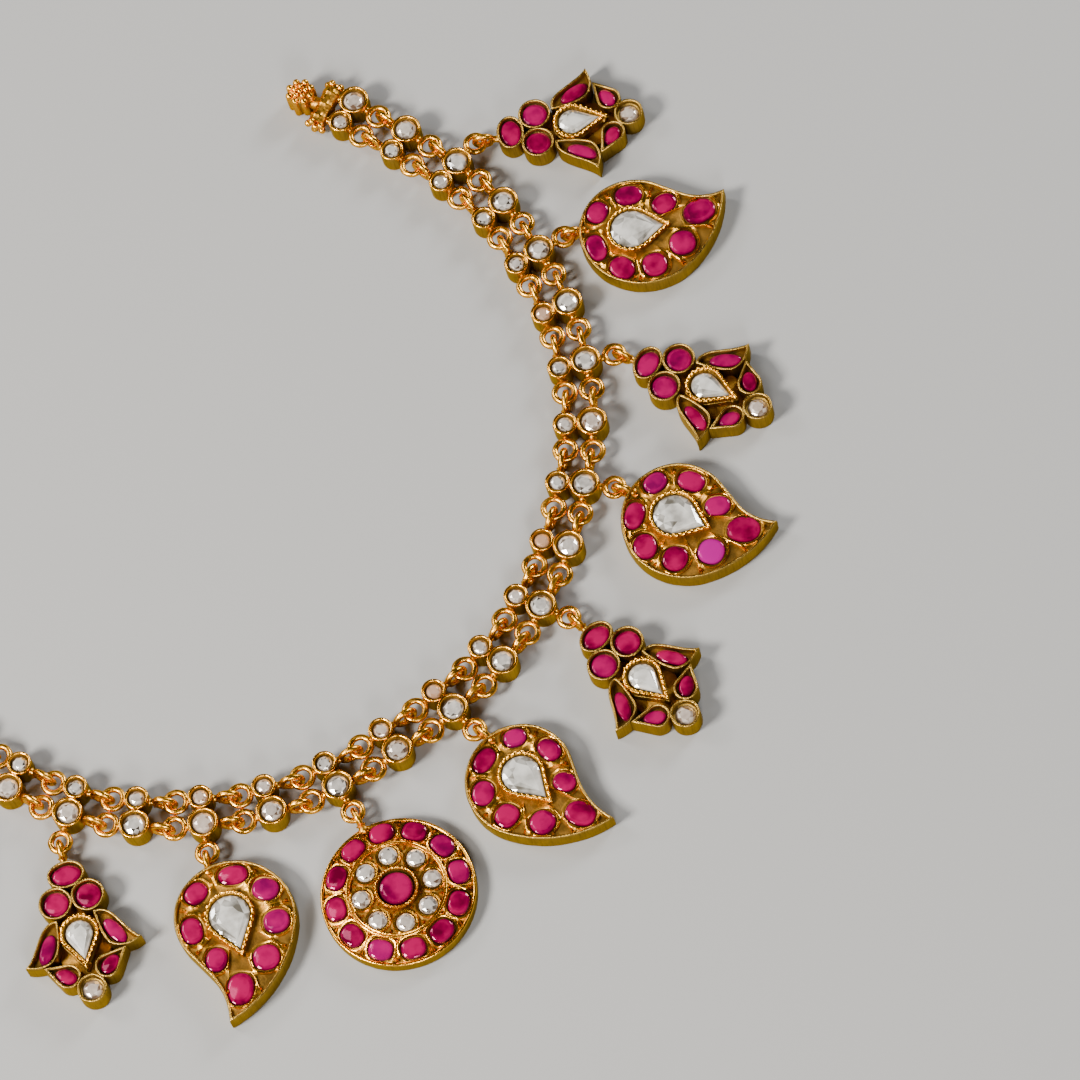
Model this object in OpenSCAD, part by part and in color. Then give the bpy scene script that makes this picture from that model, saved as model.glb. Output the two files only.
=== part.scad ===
// Kundan necklace laid open on a flat surface, seen from above, in millimetres.
// Each link is a large and a small stone collet soldered side by side. Standing rings on one
// side of a link pass through lying rings on the next link, once in the outer row and once in
// the inner row. Every other link carries a drop on its outer side.

/* [Chain] */
// Distance between neighbouring links along the middle of the chain
link_pitch = 12.8; // [12.6:0.1:13.2]
// Outside diameter of a large collet
large_d = 6.0; // [5.8:0.1:6.2]
// Outside diameter of a small collet
small_d = 4.8; // [4.6:0.1:5.0]
// Height of a collet
collet_h = 4.8; // [4.6:0.1:5.2]
// Thickness of a collet's wall
collet_wall = 0.55; // [0.45:0.05:0.6]
// Depth of the open bezel above a collet's stone ledge
bezel_depth = 0.9; // [0.7:0.1:1.1]
// How far two soldered walls run into each other
solder_lap = 0.12; // [0.08:0.02:0.2]
// Lean of the line through a link's two collets from square to the chain, in degrees
pair_lean = 4.5; // [0:0.5:6]

/* [Rings] */
// Outside diameter of the rings that join two links
ring_d = 5.2; // [5.0:0.1:5.4]
// Thickness of the rings' wire
wire_d = 1.2; // [1.1:0.05:1.25]
// How far two joined rings can still be pulled apart
ring_play = 0.6; // [0.4:0.1:0.8]
// Space under the standing rings
ring_lift = 0.1; // [0.05:0.05:0.3]
// Outside diameter of the lying ring that a drop hangs in
drop_ring_d = 4.9; // [4.8:0.1:5.2]
// Bare neck between a large collet and its drop ring
drop_neck = 0.2; // [0.1:0.1:0.5]
// Outside diameter of a drop's own standing ring
bail_d = 4.6; // [4.5:0.1:4.8]
// Space between a drop's ring and the wire of the ring that it hangs in
bail_gap = 0.35; // [0.25:0.05:0.45]

/* [Stones] */
// Diameter of a large collet's diamond
large_stone_d = 4.2; // [4.0:0.1:4.3]
// Diameter of a small collet's diamond
small_stone_d = 3.1; // [2.9:0.1:3.2]
// Space between a stone and the wall of its seat
stone_gap = 0.08; // [0.06:0.02:0.12]
// Thickness of a stone below its girdle
stone_deep = 1.2; // [1.0:0.1:1.5]
// Rise of a stone from its girdle to its table
stone_crown = 0.6; // [0.4:0.1:0.8]
// Width of a stone's table as a share of its girdle
stone_table = 0.6; // [0.5:0.05:0.7]

/* [Medallion] */
// Diameter of the medallion
medallion_d = 29.7; // [28.5:0.1:31]
// Height of the medallion's rim
medallion_rim_h = 2.9; // [2.6:0.1:3.2]
// Height of the medallion's floor at its middle
medallion_crown_h = 4.5; // [4.2:0.1:4.8]
// Distance of the ring of rubies from the medallion's centre
ruby_ring_r = 12.0; // [11.9:0.1:12.2]
// Number of rubies in the ring
ruby_ring_count = 12; // [12]
// Length of a ring ruby along the ring
ruby_ring_long = 4.9; // [4.6:0.1:5.1]
// Width of a ring ruby across the ring
ruby_ring_wide = 4.1; // [3.8:0.1:4.2]
// Distance of the ring of diamonds from the medallion's centre
diamond_ring_r = 6.95; // [6.8:0.05:7.1]
// Number of diamonds in the ring
diamond_ring_count = 8; // [8]
// Diameter of a ring diamond
diamond_ring_d = 3.6; // [3.4:0.1:3.8]
// Diameter of the centre ruby
centre_ruby_d = 6.5; // [6.2:0.1:6.7]

/* [Mango drops] */
// Height of a mango drop's rim
mango_h = 4.2; // [3.9:0.1:4.6]
// Depth of the gold floor below the rim
mango_floor_depth = 0.8; // [0.6:0.1:1.0]
// Width of the rim
mango_rim = 0.7; // [0.5:0.1:0.9]
// Width of the walls between neighbouring rubies
mango_septum = 0.6; // [0.4:0.1:0.8]
// Offset of a mango's head from the line of its ring
mango_lean = 2.8; // [2.4:0.1:3.2]
// Distance of a mango's rim from the middle of the ring that it hangs in
mango_drop = 3.3; // [3.2:0.1:3.5]
// Height of the crimped collar's edge above the floor
collar_rise = 1.3; // [1.0:0.1:1.6]
// Thickness of the crimped collar
collar_wall = 0.9; // [0.7:0.1:1.1]
// Depth of the crimps in the collar's edge
crimp_depth = 0.16; // [0.1:0.02:0.24]

/* [Lotus drops] */
// Distance of a lotus drop's top from the middle of the ring that it hangs in
lotus_drop = 4.6; // [4:0.1:4.8]
// Width of a lotus drop from petal tip to petal tip
lotus_w = 22.8; // [22:0.1:24]
// Length of a lotus drop without its ring
lotus_l = 29.4; // [28.6:0.1:30.2]
// Height of a lotus drop's walls
lotus_h = 4.6; // [4.3:0.1:4.9]
// Thickness of a lotus drop's walls
lotus_wall = 0.5; // [0.4:0.05:0.6]
// Depth of a cell's floor below its walls
cell_depth = 1.2; // [0.9:0.1:1.4]
// Height of the back plate that joins the cells
web_h = 2.0; // [1.6:0.1:2.4]
// Diameter of the two round cells
round_cell_d = 6.5; // [6.3:0.1:6.7]
// Width of the top oval cell
oval_cell_w = 7.3; // [7.0:0.1:7.6]
// Length of the top oval cell
oval_cell_l = 5.5; // [5.3:0.1:5.7]
// Diameter of the bottom cell
foot_cell_d = 5.8; // [5.6:0.1:6.0]
// Radius of the round end of the middle teardrop
heart_r = 3.9; // [3.7:0.1:4.1]
// Length of the middle teardrop
heart_l = 11.2; // [10.8:0.1:11.6]
// Radius of the round end of a lower teardrop cell
leaf_r = 2.4; // [2.2:0.1:2.6]

/* [Ends] */
// Diameter of the bar at each end of the chain
bar_d = 4.0; // [3.6:0.1:4.4]
// Turn of the bar inwards from square to the last link, in degrees
end_lean = 9; // [4:1:10]
// Length of the bar between its end flowers
bar_l = 8.4; // [8:0.2:9.2]
// Diameter of a granule on the flowers
granule_d = 1.5; // [1.2:0.1:1.7]
// Diameter of the screw head's cup
cup_d = 4.8; // [4.4:0.1:5.2]
// Bare neck between the bar and the cup
neck_l = 0.9; // [0.7:0.1:1.2]
// Diameter of that neck
neck_d = 3.0; // [2.4:0.1:3.4]
// Height of the screw head's cup
cup_h = 5.0; // [4.6:0.1:5.4]
// Diameter of the plain eye's hole
eye_hole_d = 2.4; // [2.0:0.1:2.6]
// Height of the plain eye
eye_h = 2.4; // [2:0.1:3]

/* [Hidden] */
// Headings of the steps from link to link, in degrees, outwards from the middle link
right_steps = [8, 14, 22, 34, 44, 54, 61, 73, 83, 93, 100, 112, 120, 123];
// The left side's first steps, after which it follows the right side
left_front_steps = [3, 15, 24, 36, 48];
// Middle link, placed so that the origin is under the middle of the laid necklace
start = [-0.44, -50.16];
// Drops from left to right: link, kind, heading in which the drop points, and its shift to its
// own right in the ring that it hangs in
drops = [
    [-12, "lotus", 195.5, -0.3], [-10, "mango", 189.6, -0.2], [-8, "lotus", 229, -0.3],
    [-6, "mango", 219.4, 0.2], [-4, "lotus", 262, -0.2], [-2, "mango", 258, -0.3],
    [0, "medallion", 275.5, 0.1], [2, "mango", 300, 0.3], [4, "lotus", 293, 0.3],
    [6, "mango", 320.6, -0.2], [8, "lotus", 311, 0.3], [10, "mango", 350.4, 0.2], [12, "lotus", 344.5, 0.3]
];
// Mango forms: radius of the head, the belly and the tail, angle where the belly ends, angle
// where the head ends, straight run of the neck, radius of the inward curl, and radius and
// length of the polki
broad_mango = [10.6, 13.0, 22, 211, -38, 5.5, 10, 4.0, 10.4];
slim_mango = [10.2, 11.7, 23, 196, -34, 5.0, 15, 3.65, 10.5];
long_mango = [10.8, 12.4, 24, 196, -34, 5.3, 16, 3.9, 11.0];
// Mango rubies: place across and along as shares of the drop's width and length, width and
// length as shares of its width, and turn in degrees
mango_ruby_table = [
    [0.461, 0.094, 0.258, 0.172, 4], [0.780, 0.158, 0.212, 0.178, -38],
    [0.862, 0.385, 0.184, 0.240, -6], [0.702, 0.597, 0.184, 0.218, 18],
    [0.551, 0.808, 0.232, 0.284, 14], [0.301, 0.649, 0.232, 0.228, 0],
    [0.172, 0.438, 0.228, 0.214, 0], [0.217, 0.224, 0.238, 0.200, 25]
];
// Mango polki: place of its round end across and along as such shares, and turn in degrees
mango_polki_place = [0.538, 0.345];
mango_polki_turn = -8;
// A curled petal's outline and stone, as shares of half the lotus's width and of its length
petal_top = [0.307, 0.389];
petal_shoulder = [[0.658, 0.359], [0.728, 0.577]];
petal_tip = [1.0, 0.651];
petal_lip = [[0.807, 0.689], [0.579, 0.692]];
petal_foot = [0.439, 0.631];
petal_side = [[0.342, 0.563], [0.316, 0.471]];
petal_stone = [0.582, 0.556];
petal_stone_size = [3.0, 6.4];
petal_stone_turn = 27;
// A lower teardrop cell's round end and tip, as such shares
leaf_root = [0.333, 0.781];
leaf_tip = [0.715, 0.682];
leaf_stone_size = [4.6, 3.1];
// Places along the lotus as shares of its length
rounds_at = 0.270;
heart_at = 0.515;

half = len(right_steps);
left_steps = [for (k = [0:half - 1]) k < len(left_front_steps) ? left_front_steps[k] : right_steps[k]];
pair_gap = (large_d + small_d) / 2 - solder_lap;
ring_r = (ring_d - wire_d) / 2;
drop_ring_r = (drop_ring_d - wire_d) / 2;
bail_r = (bail_d - wire_d) / 2;
ring_level = ring_d / 2 + ring_lift;
ring_step = ring_d - 2 * wire_d - ring_play;
mean_turn = (right_steps[half - 1] + left_steps[half - 1]) / (2 * half - 1);
large_reach = (link_pitch + pair_gap * sin(mean_turn / 2) - ring_step) / 2;
small_reach = (link_pitch - pair_gap * sin(mean_turn / 2) - ring_step) / 2;
drop_reach = large_d / 2 + drop_neck + drop_ring_d / 2;
bail_step = drop_ring_r - bail_r + wire_d + bail_gap;
bail_foot = bail_step + bail_d / 2;
stem_d = wire_d + 0.2;
ledge_h = collet_h - bezel_depth;
gold = [0.86, 0.62, 0.25];
ruby = [0.78, 0.05, 0.30];
white = [0.93, 0.92, 0.90];

// Layout of the chain

function step(i) = i >= 0 ? right_steps[i] : -left_steps[-i - 1];
function ray(a) = [cos(a), sin(a)];
function link_mid(i) =
    i == 0 ? start :
    i > 0 ? link_mid(i - 1) + link_pitch * ray(step(i - 1)) :
    link_mid(i + 1) - link_pitch * ray(step(i));
function link_turn(i) =
    i == -half ? step(i) :
    i == half ? step(i - 1) :
    (step(i - 1) + step(i)) / 2;
function of_kind(kind) = [for (d = drops) if (d[1] == kind) d];

module at_link(i) translate(link_mid(i)) rotate(link_turn(i)) children();
module at_large() rotate(pair_lean) translate([0, -pair_gap / 2]) children();
module at_small() rotate(pair_lean) translate([0, pair_gap / 2]) children();

// Puts a drop in the lying ring of its link, pointing along its heading
module at_drop(d) {
    i = d[0];
    ring_at = link_turn(i) + pair_lean - 90;
    translate(link_mid(i) + (pair_gap / 2 + drop_reach) * ray(ring_at))
        rotate(d[2] + 90) translate([d[3], 0]) children();
}

// Outlines, all counterclockwise

function arc(c, r, a0, a1, n) = [for (k = [0:n - 1]) c + r * ray(a0 + (a1 - a0) * k / n)];
function oval(w, l, n) = [for (k = [0:n - 1]) [w / 2 * cos(360 * k / n), l / 2 * sin(360 * k / n)]];
function bend(a, b, c, d, n) = [
    for (k = [0:n - 1]) let (t = k / n, s = 1 - t)
        s * s * s * a + 3 * s * s * t * b + 3 * s * t * t * c + t * t * t * d
];
// Teardrop with its round end at the origin and its tip towards -Y, grown by g all round
function teardrop(r, l, g, n) =
    let (tip = asin(r / (l - r)), a0 = -tip, a1 = 180 + tip)
    concat(
        [for (k = [0:n - 2]) (r + g) * ray(a0 + (a1 - a0) * k / (n - 2))],
        [[0, -(l - r) - g / sin(tip)]]
    );
function unit(v) = v / norm(v);
function left_of(v) = [-v[1], v[0]];
// The same outline drawn in by d
function drawn_in(points, d) =
    let (n = len(points))
    [for (k = [0:n - 1]) let (
        p = points[k],
        u = left_of(unit(p - points[(k + n - 1) % n])),
        v = left_of(unit(points[(k + 1) % n] - p))
    ) p + d * (u + v) / (1 + u * v)];
// An outline whose edge is crimped in and out
function crimped(points, d) =
    let (n = len(points), inner = drawn_in(points, d))
    [for (k = [0:n - 1]) k % 2 == 0 ? points[k] : inner[k]];

// Wire rings and stones

module standing_ring(r) rotate([90, 0, 0]) rotate_extrude($fn = 48) translate([r, 0]) circle(d = wire_d, $fn = 24);
module lying_ring(r) rotate_extrude($fn = 48) translate([r, 0]) circle(d = wire_d, $fn = 24);
// Solder stem along X
module stem(from, to) translate([from, 0, 0]) rotate([0, 90, 0]) cylinder(d = stem_d, h = to - from, $fn = 32);

// Cut stone: a flat table, a ring of crown facets and a ring of facets below the girdle
function level(outline, share, z) = [for (p = outline) [p[0] * share, p[1] * share, z]];

module cut_stone(outline, deep, crown, table) {
    n = len(outline);
    polyhedron(
        points = concat(level(outline, 0.88, -deep), level(outline, 1, 0), level(outline, table, crown)),
        faces = concat(
            [[for (k = [0:n - 1]) k]],
            [for (ring = [0, n]) for (k = [0:n - 1])
                [ring + k, ring + n + k, ring + n + (k + 1) % n, ring + (k + 1) % n]],
            [[for (k = [0:n - 1]) 3 * n - 1 - k]]
        )
    );
}

// Pocket for a stone whose girdle lies at height z
module seat(outline, z) translate([0, 0, z - stone_deep - stone_gap])
    linear_extrude(stone_deep + lotus_h + stone_gap) polygon(drawn_in(outline, -stone_gap));
module round_seat(d, z) translate([0, 0, z - stone_deep - stone_gap])
    cylinder(d = d + 2 * stone_gap, h = stone_deep + lotus_h + stone_gap, $fn = 64);

// Links

module collet(d, stone_d) {
    difference() {
        cylinder(d = d, h = collet_h, $fn = 64);
        translate([0, 0, ledge_h]) cylinder(d = d - 2 * collet_wall, h = collet_h, $fn = 64);
        translate([0, 0, ledge_h - stone_deep - stone_gap])
            cylinder(d = stone_d + 2 * stone_gap, h = collet_h, $fn = 64);
    }
}

module collet_stone(d) color(white) translate([0, 0, ledge_h]) cut_stone(oval(d, d, 8), stone_deep, stone_crown, stone_table);

module collet_pair() {
    at_large() collet(large_d, large_stone_d);
    at_small() collet(small_d, small_stone_d);
}

// Standing rings on the right side of a link
module standing_pair() translate([0, 0, ring_level]) {
    translate([large_reach, -pair_gap / 2]) standing_ring(ring_r);
    translate([small_reach, pair_gap / 2]) standing_ring(ring_r);
    translate([0, -pair_gap / 2]) stem(large_d / 2 - collet_wall / 2, large_reach - ring_r);
    translate([0, pair_gap / 2]) stem(small_d / 2 - collet_wall, small_reach - ring_r);
}

// Lying rings on the left side of a link
module lying_pair() translate([0, 0, ring_level]) {
    translate([-large_reach, -pair_gap / 2]) lying_ring(ring_r);
    translate([-small_reach, pair_gap / 2]) lying_ring(ring_r);
    translate([0, -pair_gap / 2]) stem(ring_r - large_reach, collet_wall - large_d / 2);
    translate([0, pair_gap / 2]) stem(ring_r - small_reach, collet_wall / 2 - small_d / 2);
}

// Lying ring on the outer side of a link, which a drop hangs in
module drop_ring() at_large() translate([0, 0, ring_level]) {
    translate([0, -drop_reach]) lying_ring(drop_ring_r);
    rotate(-90) stem(large_d / 2 - collet_wall / 2, drop_reach - drop_ring_r);
}

module link(i) color(gold) at_link(i) {
    collet_pair();
    if (i < half) standing_pair();
    if (i > -half) lying_pair();
    if (i % 2 == 0 && abs(i) < half) drop_ring();
    if (i == half) clasp_end();
    if (i == -half) eye_end();
}

// Ends of the chain

bar_x = large_d / 2 + bar_d / 2 + 0.2;
bar_z = bar_d / 2 + granule_d / 4;

// Bar across the chain, held by a stem from each collet, with whatever its end carries
module end_bar() rotate(end_lean) translate([0, 0, bar_z]) {
    translate([bar_x, 0, 0]) rotate([90, 0, 0]) cylinder(d = bar_d, h = bar_l, center = true, $fn = 48);
    translate([0, -pair_gap / 2]) stem(large_d / 2 - collet_wall, bar_x);
    translate([0, pair_gap / 2]) stem(small_d / 2 - collet_wall, bar_x);
}

// Ring of granules round the axis Z
module granules(count, d, r, z) for (k = [0:count - 1])
    rotate(k * 360 / count) translate([r, 0, z]) sphere(d = d, $fn = 32);

module end_flower() {
    granules(5, granule_d, bar_d / 2 - granule_d / 4, granule_d / 4);
    granules(1, granule_d, 0, granule_d / 4);
}

module clasp_end() {
    end_bar();
    rotate(end_lean) {
        for (side = [-1, 1]) translate([bar_x, side * bar_l / 2, bar_z]) rotate([-90 * side, 0, 0]) end_flower();
        translate([bar_x, 0, bar_z]) rotate([0, 90, 0]) cylinder(d = neck_d, h = cup_x - bar_x, $fn = 32);
        translate([cup_x, 0, 0]) screw_head();
    }
}

// Petalled cup with granules on top
module screw_head() {
    cylinder(d = cup_d, h = cup_h, $fn = 64);
    for (k = [0:7]) rotate(k * 45) translate([cup_d / 2 - 0.1, 0, 0])
        cylinder(d = granule_d, h = cup_h - granule_d / 2, $fn = 32);
    granules(8, granule_d, cup_d / 2 - 0.1, cup_h);
    granules(1, 0.6 * granule_d, 0, cup_h + granule_d / 8);
    granules(5, 0.6 * granule_d, cup_d / 2 - 0.1 - 0.85 * granule_d, cup_h + granule_d / 8);
}

cup_x = bar_x + bar_d / 2 + neck_l + cup_d / 2;
eye_d = eye_hole_d + 2.8;
eye_x = bar_x + bar_d / 2 + eye_d / 2 - 0.2;

// Plain bar with an eye, the other way round
module eye_end() mirror([1, 0, 0]) {
    end_bar();
    rotate(end_lean) translate([eye_x, 0, bar_z - eye_h / 2]) difference() {
        cylinder(d = eye_d, h = eye_h, $fn = 64);
        translate([0, 0, -eye_h / 2]) cylinder(d = eye_hole_d, h = 2 * eye_h, $fn = 64);
    }
}

// A drop's own standing ring, with a solder stem that ends at depth y
module bail(y) translate([0, 0, ring_level]) {
    translate([0, -bail_step]) rotate(90) standing_ring(bail_r);
    rotate(-90) stem(bail_step + bail_r, y);
}

// Medallion, with its centre below the ring

medallion_r = medallion_d / 2;
medallion_y = -bail_foot - medallion_r;
medallion_rim = 0.65;
band_r = (ruby_ring_r - ruby_ring_wide / 2 + diamond_ring_r + diamond_ring_d / 2) / 2;
centre_collar_r = centre_ruby_d / 2 + 0.25;
centre_collar_h = medallion_crown_h + 1.0;
outer_floor_h = medallion_rim_h - 0.3;
band_h = medallion_crown_h - 0.1;
ruby_ring_girdle = (outer_floor_h + band_h) / 2 - 0.2;
diamond_ring_girdle = medallion_crown_h - 0.25;
centre_girdle = medallion_crown_h + 0.2;

module at_medallion() translate([0, medallion_y]) children();
module round_the_ruby_ring() for (k = [0:ruby_ring_count - 1])
    rotate(17.5 + k * 360 / ruby_ring_count) translate([ruby_ring_r, 0]) children();
module round_the_diamond_ring() for (k = [0:diamond_ring_count - 1])
    rotate(32 + k * 360 / diamond_ring_count) translate([diamond_ring_r, 0]) children();

module medallion_setting() color(gold) at_drop(of_kind("medallion")[0]) {
    bail(bail_foot + 0.8);
    difference() {
        at_medallion() union() {
            rotate_extrude($fn = 96) polygon([
                [0, 0], [medallion_r, 0], [medallion_r, medallion_rim_h],
                [medallion_r - medallion_rim, medallion_rim_h], [medallion_r - medallion_rim, outer_floor_h],
                [band_r + 0.5, band_h - 0.5], [band_r + 0.5, band_h], [band_r, band_h + 0.1],
                [band_r - 0.1, band_h - 0.2], [band_r - 0.2, band_h + 0.2], [band_r - 0.6, band_h + 0.2],
                [band_r - 0.6, band_h - 0.2],
                [centre_collar_r + 0.7, medallion_crown_h],
                [centre_collar_r + 0.7, centre_collar_h - 0.2], [centre_collar_r + 0.35, centre_collar_h],
                [centre_collar_r, centre_collar_h - 0.2], [centre_collar_r, centre_girdle], [0, centre_girdle]
            ]);
            for (k = [0:ruby_ring_count - 1]) rotate(17.5 + (k + 0.5) * 360 / ruby_ring_count)
                translate([band_r, -mango_septum / 2, outer_floor_h - 1])
                    cube([medallion_r - medallion_rim / 2 - band_r, mango_septum, 1.6]);
        }
        at_medallion() {
            round_the_ruby_ring() seat(oval(ruby_ring_wide, ruby_ring_long, 20), ruby_ring_girdle);
            round_the_diamond_ring() round_seat(diamond_ring_d, diamond_ring_girdle);
            round_seat(centre_ruby_d, centre_girdle);
        }
    }
}

module medallion_centre_ruby() color(ruby) at_drop(of_kind("medallion")[0]) at_medallion()
    translate([0, 0, centre_girdle]) cut_stone(oval(centre_ruby_d, centre_ruby_d, 12), stone_deep, stone_crown, stone_table);

module medallion_rubies() color(ruby) at_drop(of_kind("medallion")[0]) at_medallion() round_the_ruby_ring()
    translate([0, 0, ruby_ring_girdle])
        cut_stone(oval(ruby_ring_wide, ruby_ring_long, 10), stone_deep, stone_crown, stone_table);

// Mango drops

function mango_form(d) = d[0] == 2 ? slim_mango : d[0] == -2 ? long_mango : broad_mango;
function mango_head(f) = [-mango_lean, -mango_drop - sqrt(f[0] * f[0] - mango_lean * mango_lean)];
function lower_cross(a, ra, b, rb) =
    let (d = norm(b - a), x = (ra * ra - rb * rb + d * d) / (2 * d), h = sqrt(ra * ra - x * x),
        u = unit(b - a), p = a + x * u + h * left_of(u), q = a + x * u - h * left_of(u))
    p[1] < q[1] ? p : q;
function angle_to(a, b) = let (t = atan2(b[1] - a[1], b[0] - a[0])) t < 0 ? t + 360 : t;
// Mango outline drawn in by d: head, belly and tail are arcs that flow into each other
function mango_outline(f, d, n) =
    let (head = mango_head(f), belly = head + [0, f[0] - f[1]],
        tail = belly + (f[1] - f[2]) * ray(f[3]),
        curl = head + (f[0] + f[6]) * ray(f[4]) + f[5] * ray(f[4] - 90),
        tip = lower_cross(tail, f[2] - d, curl, f[6] + d))
    concat(
        arc(head, f[0] - d, f[4], 90, n), arc(belly, f[1] - d, 90, f[3], n),
        arc(tail, f[2] - d, f[3], angle_to(tail, tip), n / 2),
        arc(curl, f[6] + d, angle_to(curl, tip), f[4] + 180, n / 2), [curl + (f[6] + d) * ray(f[4] + 180)]
    );
function mango_w(f) = f[0] + f[1];
function mango_tip(f) = min([for (p = mango_outline(f, 0, 8)) p[1]]);
function mango_l(f) = mango_head(f)[1] + f[0] - mango_tip(f);
// Place given as shares of the mango's width and length, from its left and its top
function mango_place(f, across, along) =
    [mango_head(f)[0] - f[1] + across * mango_w(f), mango_head(f)[1] + f[0] - along * mango_l(f)];
function mango_ruby(f, k, n) = oval(mango_ruby_table[k][2] * mango_w(f), mango_ruby_table[k][3] * mango_w(f), n);
function polki(f, g, n) = teardrop(f[7], f[8], g, n);

mango_floor_h = mango_h - mango_floor_depth;
mango_girdle = mango_floor_h - 0.1;
polki_girdle = mango_floor_h + collar_rise / 2;

module at_mango(d) at_drop(d) mirror([d[0] < 0 ? 1 : 0, 0, 0]) children();
module at_mango_ruby(f, k) translate(mango_place(f, mango_ruby_table[k][0], mango_ruby_table[k][1]))
    rotate(mango_ruby_table[k][4]) children();
module at_mango_polki(f) translate(mango_place(f, mango_polki_place[0], mango_polki_place[1]))
    rotate(mango_polki_turn) children();

// Wall between two neighbouring rubies, from the collar to the rim
module septum(f, k) {
    n = len(mango_ruby_table);
    a = mango_ruby_table[k];
    b = mango_ruby_table[(k + 1) % n];
    middle = mango_place(f, (a[0] + b[0]) / 2, (a[1] + b[1]) / 2);
    hub = mango_place(f, mango_polki_place[0], mango_polki_place[1]);
    translate(middle) rotate(angle_to(hub, middle))
        translate([-2.6, -mango_septum / 2]) cube([5.2, mango_septum, mango_h - 0.3]);
}

module mango_setting(d) color(gold) at_mango(d) {
    f = mango_form(d);
    bail(bail_foot + 0.6);
    difference() {
        union() {
            linear_extrude(mango_floor_h) polygon(mango_outline(f, 0, 18));
            difference() {
                linear_extrude(mango_h) polygon(mango_outline(f, 0, 18));
                translate([0, 0, mango_floor_h]) linear_extrude(mango_h) polygon(mango_outline(f, mango_rim, 18));
            }
            intersection() {
                for (k = [0:len(mango_ruby_table) - 1]) septum(f, k);
                linear_extrude(mango_h) polygon(mango_outline(f, mango_rim / 2, 18));
            }
            at_mango_polki(f) linear_extrude(mango_floor_h + collar_rise)
                polygon(crimped(polki(f, collar_wall + stone_gap, 38), crimp_depth));
        }
        for (k = [0:len(mango_ruby_table) - 1]) at_mango_ruby(f, k) seat(mango_ruby(f, k, 20), mango_girdle);
        at_mango_polki(f) {
            translate([0, 0, polki_girdle]) linear_extrude(mango_h) polygon(polki(f, collar_wall / 3, 20));
            translate([0, 0, polki_girdle - stone_deep - stone_gap])
                linear_extrude(mango_h) polygon(polki(f, stone_gap, 20));
        }
    }
}

module mango_polki(d) color(white) at_mango(d) at_mango_polki(mango_form(d))
    translate([0, 0, polki_girdle]) cut_stone(polki(mango_form(d), 0, 14), stone_deep, stone_crown, stone_table);

module mango_rubies() color(ruby) for (d = of_kind("mango")) at_mango(d)
    for (k = [0:len(mango_ruby_table) - 1]) at_mango_ruby(mango_form(d), k) translate([0, 0, mango_girdle])
        cut_stone(mango_ruby(mango_form(d), k, 10), stone_deep, stone_crown, stone_table);

// Lotus drops

lotus_top = -lotus_drop;
function lotus_place(share) = [share[0] * lotus_w / 2, lotus_top - share[1] * lotus_l];
function lotus_curve(a, b, n) = bend(lotus_place(a), lotus_place(b[0]), lotus_place(b[1]), lotus_place(b[2]), n);
petal_outline = concat(
    lotus_curve(petal_top, [petal_side[1], petal_side[0], petal_foot], 7),
    lotus_curve(petal_foot, [petal_lip[1], petal_lip[0], petal_tip], 7),
    lotus_curve(petal_tip, [petal_shoulder[1], petal_shoulder[0], petal_top], 10)
);
oval_at = [0, lotus_top - oval_cell_l / 2];
round_at = [round_cell_d / 2 - solder_lap / 2, lotus_top - rounds_at * lotus_l];
heart_place = [0, lotus_top - heart_at * lotus_l];
foot_at = [0, lotus_top - lotus_l + foot_cell_d / 2];
leaf_at = lotus_place(leaf_root);
leaf_run = norm(lotus_place(leaf_tip) - leaf_at);
leaf_turn = angle_to(leaf_at, lotus_place(leaf_tip)) + 90;
cell_floor_h = lotus_h - cell_depth;
cell_girdle = cell_floor_h - 0.1;
heart_top_h = cell_floor_h + collar_rise + 0.3;
heart_girdle = heart_top_h - 0.7;
heart_stone_r = 2.6;
heart_stone_l = 8.2;
round_stone_d = round_cell_d - 2 * (lotus_wall + stone_gap);
foot_stone_d = 3.9;

module both_sides() for (side = [0, 1]) mirror([side, 0, 0]) children();

// Thin-walled cell with a raised floor
module cell(outline) difference() {
    linear_extrude(lotus_h) polygon(outline);
    translate([0, 0, cell_floor_h]) linear_extrude(lotus_h) polygon(drawn_in(outline, lotus_wall));
}
module round_cell(d) difference() {
    cylinder(d = d, h = lotus_h, $fn = 64);
    translate([0, 0, cell_floor_h]) cylinder(d = d - 2 * lotus_wall, h = lotus_h, $fn = 64);
}

module lotus_stone(outline) translate([0, 0, cell_girdle]) cut_stone(outline, stone_deep, stone_crown, stone_table);

function fitted(w, l, n) = oval(w - 2 * (lotus_wall + stone_gap), l - 2 * (lotus_wall + stone_gap), n);

module at_petal_stone() translate(lotus_place(petal_stone)) rotate(petal_stone_turn) children();
module at_leaf_stone() translate(leaf_at + 0.12 * leaf_run * ray(leaf_turn - 90)) rotate(leaf_turn - 90) children();

module lotus_seats() {
    translate(oval_at) seat(fitted(oval_cell_w, oval_cell_l, 20), cell_girdle);
    translate(foot_at) round_seat(foot_stone_d, cell_girdle);
    translate(heart_place) {
        translate([0, 0, heart_girdle]) linear_extrude(lotus_h)
            polygon(teardrop(heart_r, heart_l, -collar_wall, 20));
        translate([0, 0, heart_girdle - stone_deep - stone_gap]) linear_extrude(lotus_h)
            polygon(teardrop(heart_stone_r, heart_stone_l, stone_gap, 20));
    }
    both_sides() {
        translate(round_at) round_seat(round_stone_d, cell_girdle);
        at_petal_stone() seat(oval(petal_stone_size[0], petal_stone_size[1], 20), cell_girdle);
        at_leaf_stone() seat(oval(leaf_stone_size[0], leaf_stone_size[1], 20), cell_girdle);
    }
}

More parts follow.
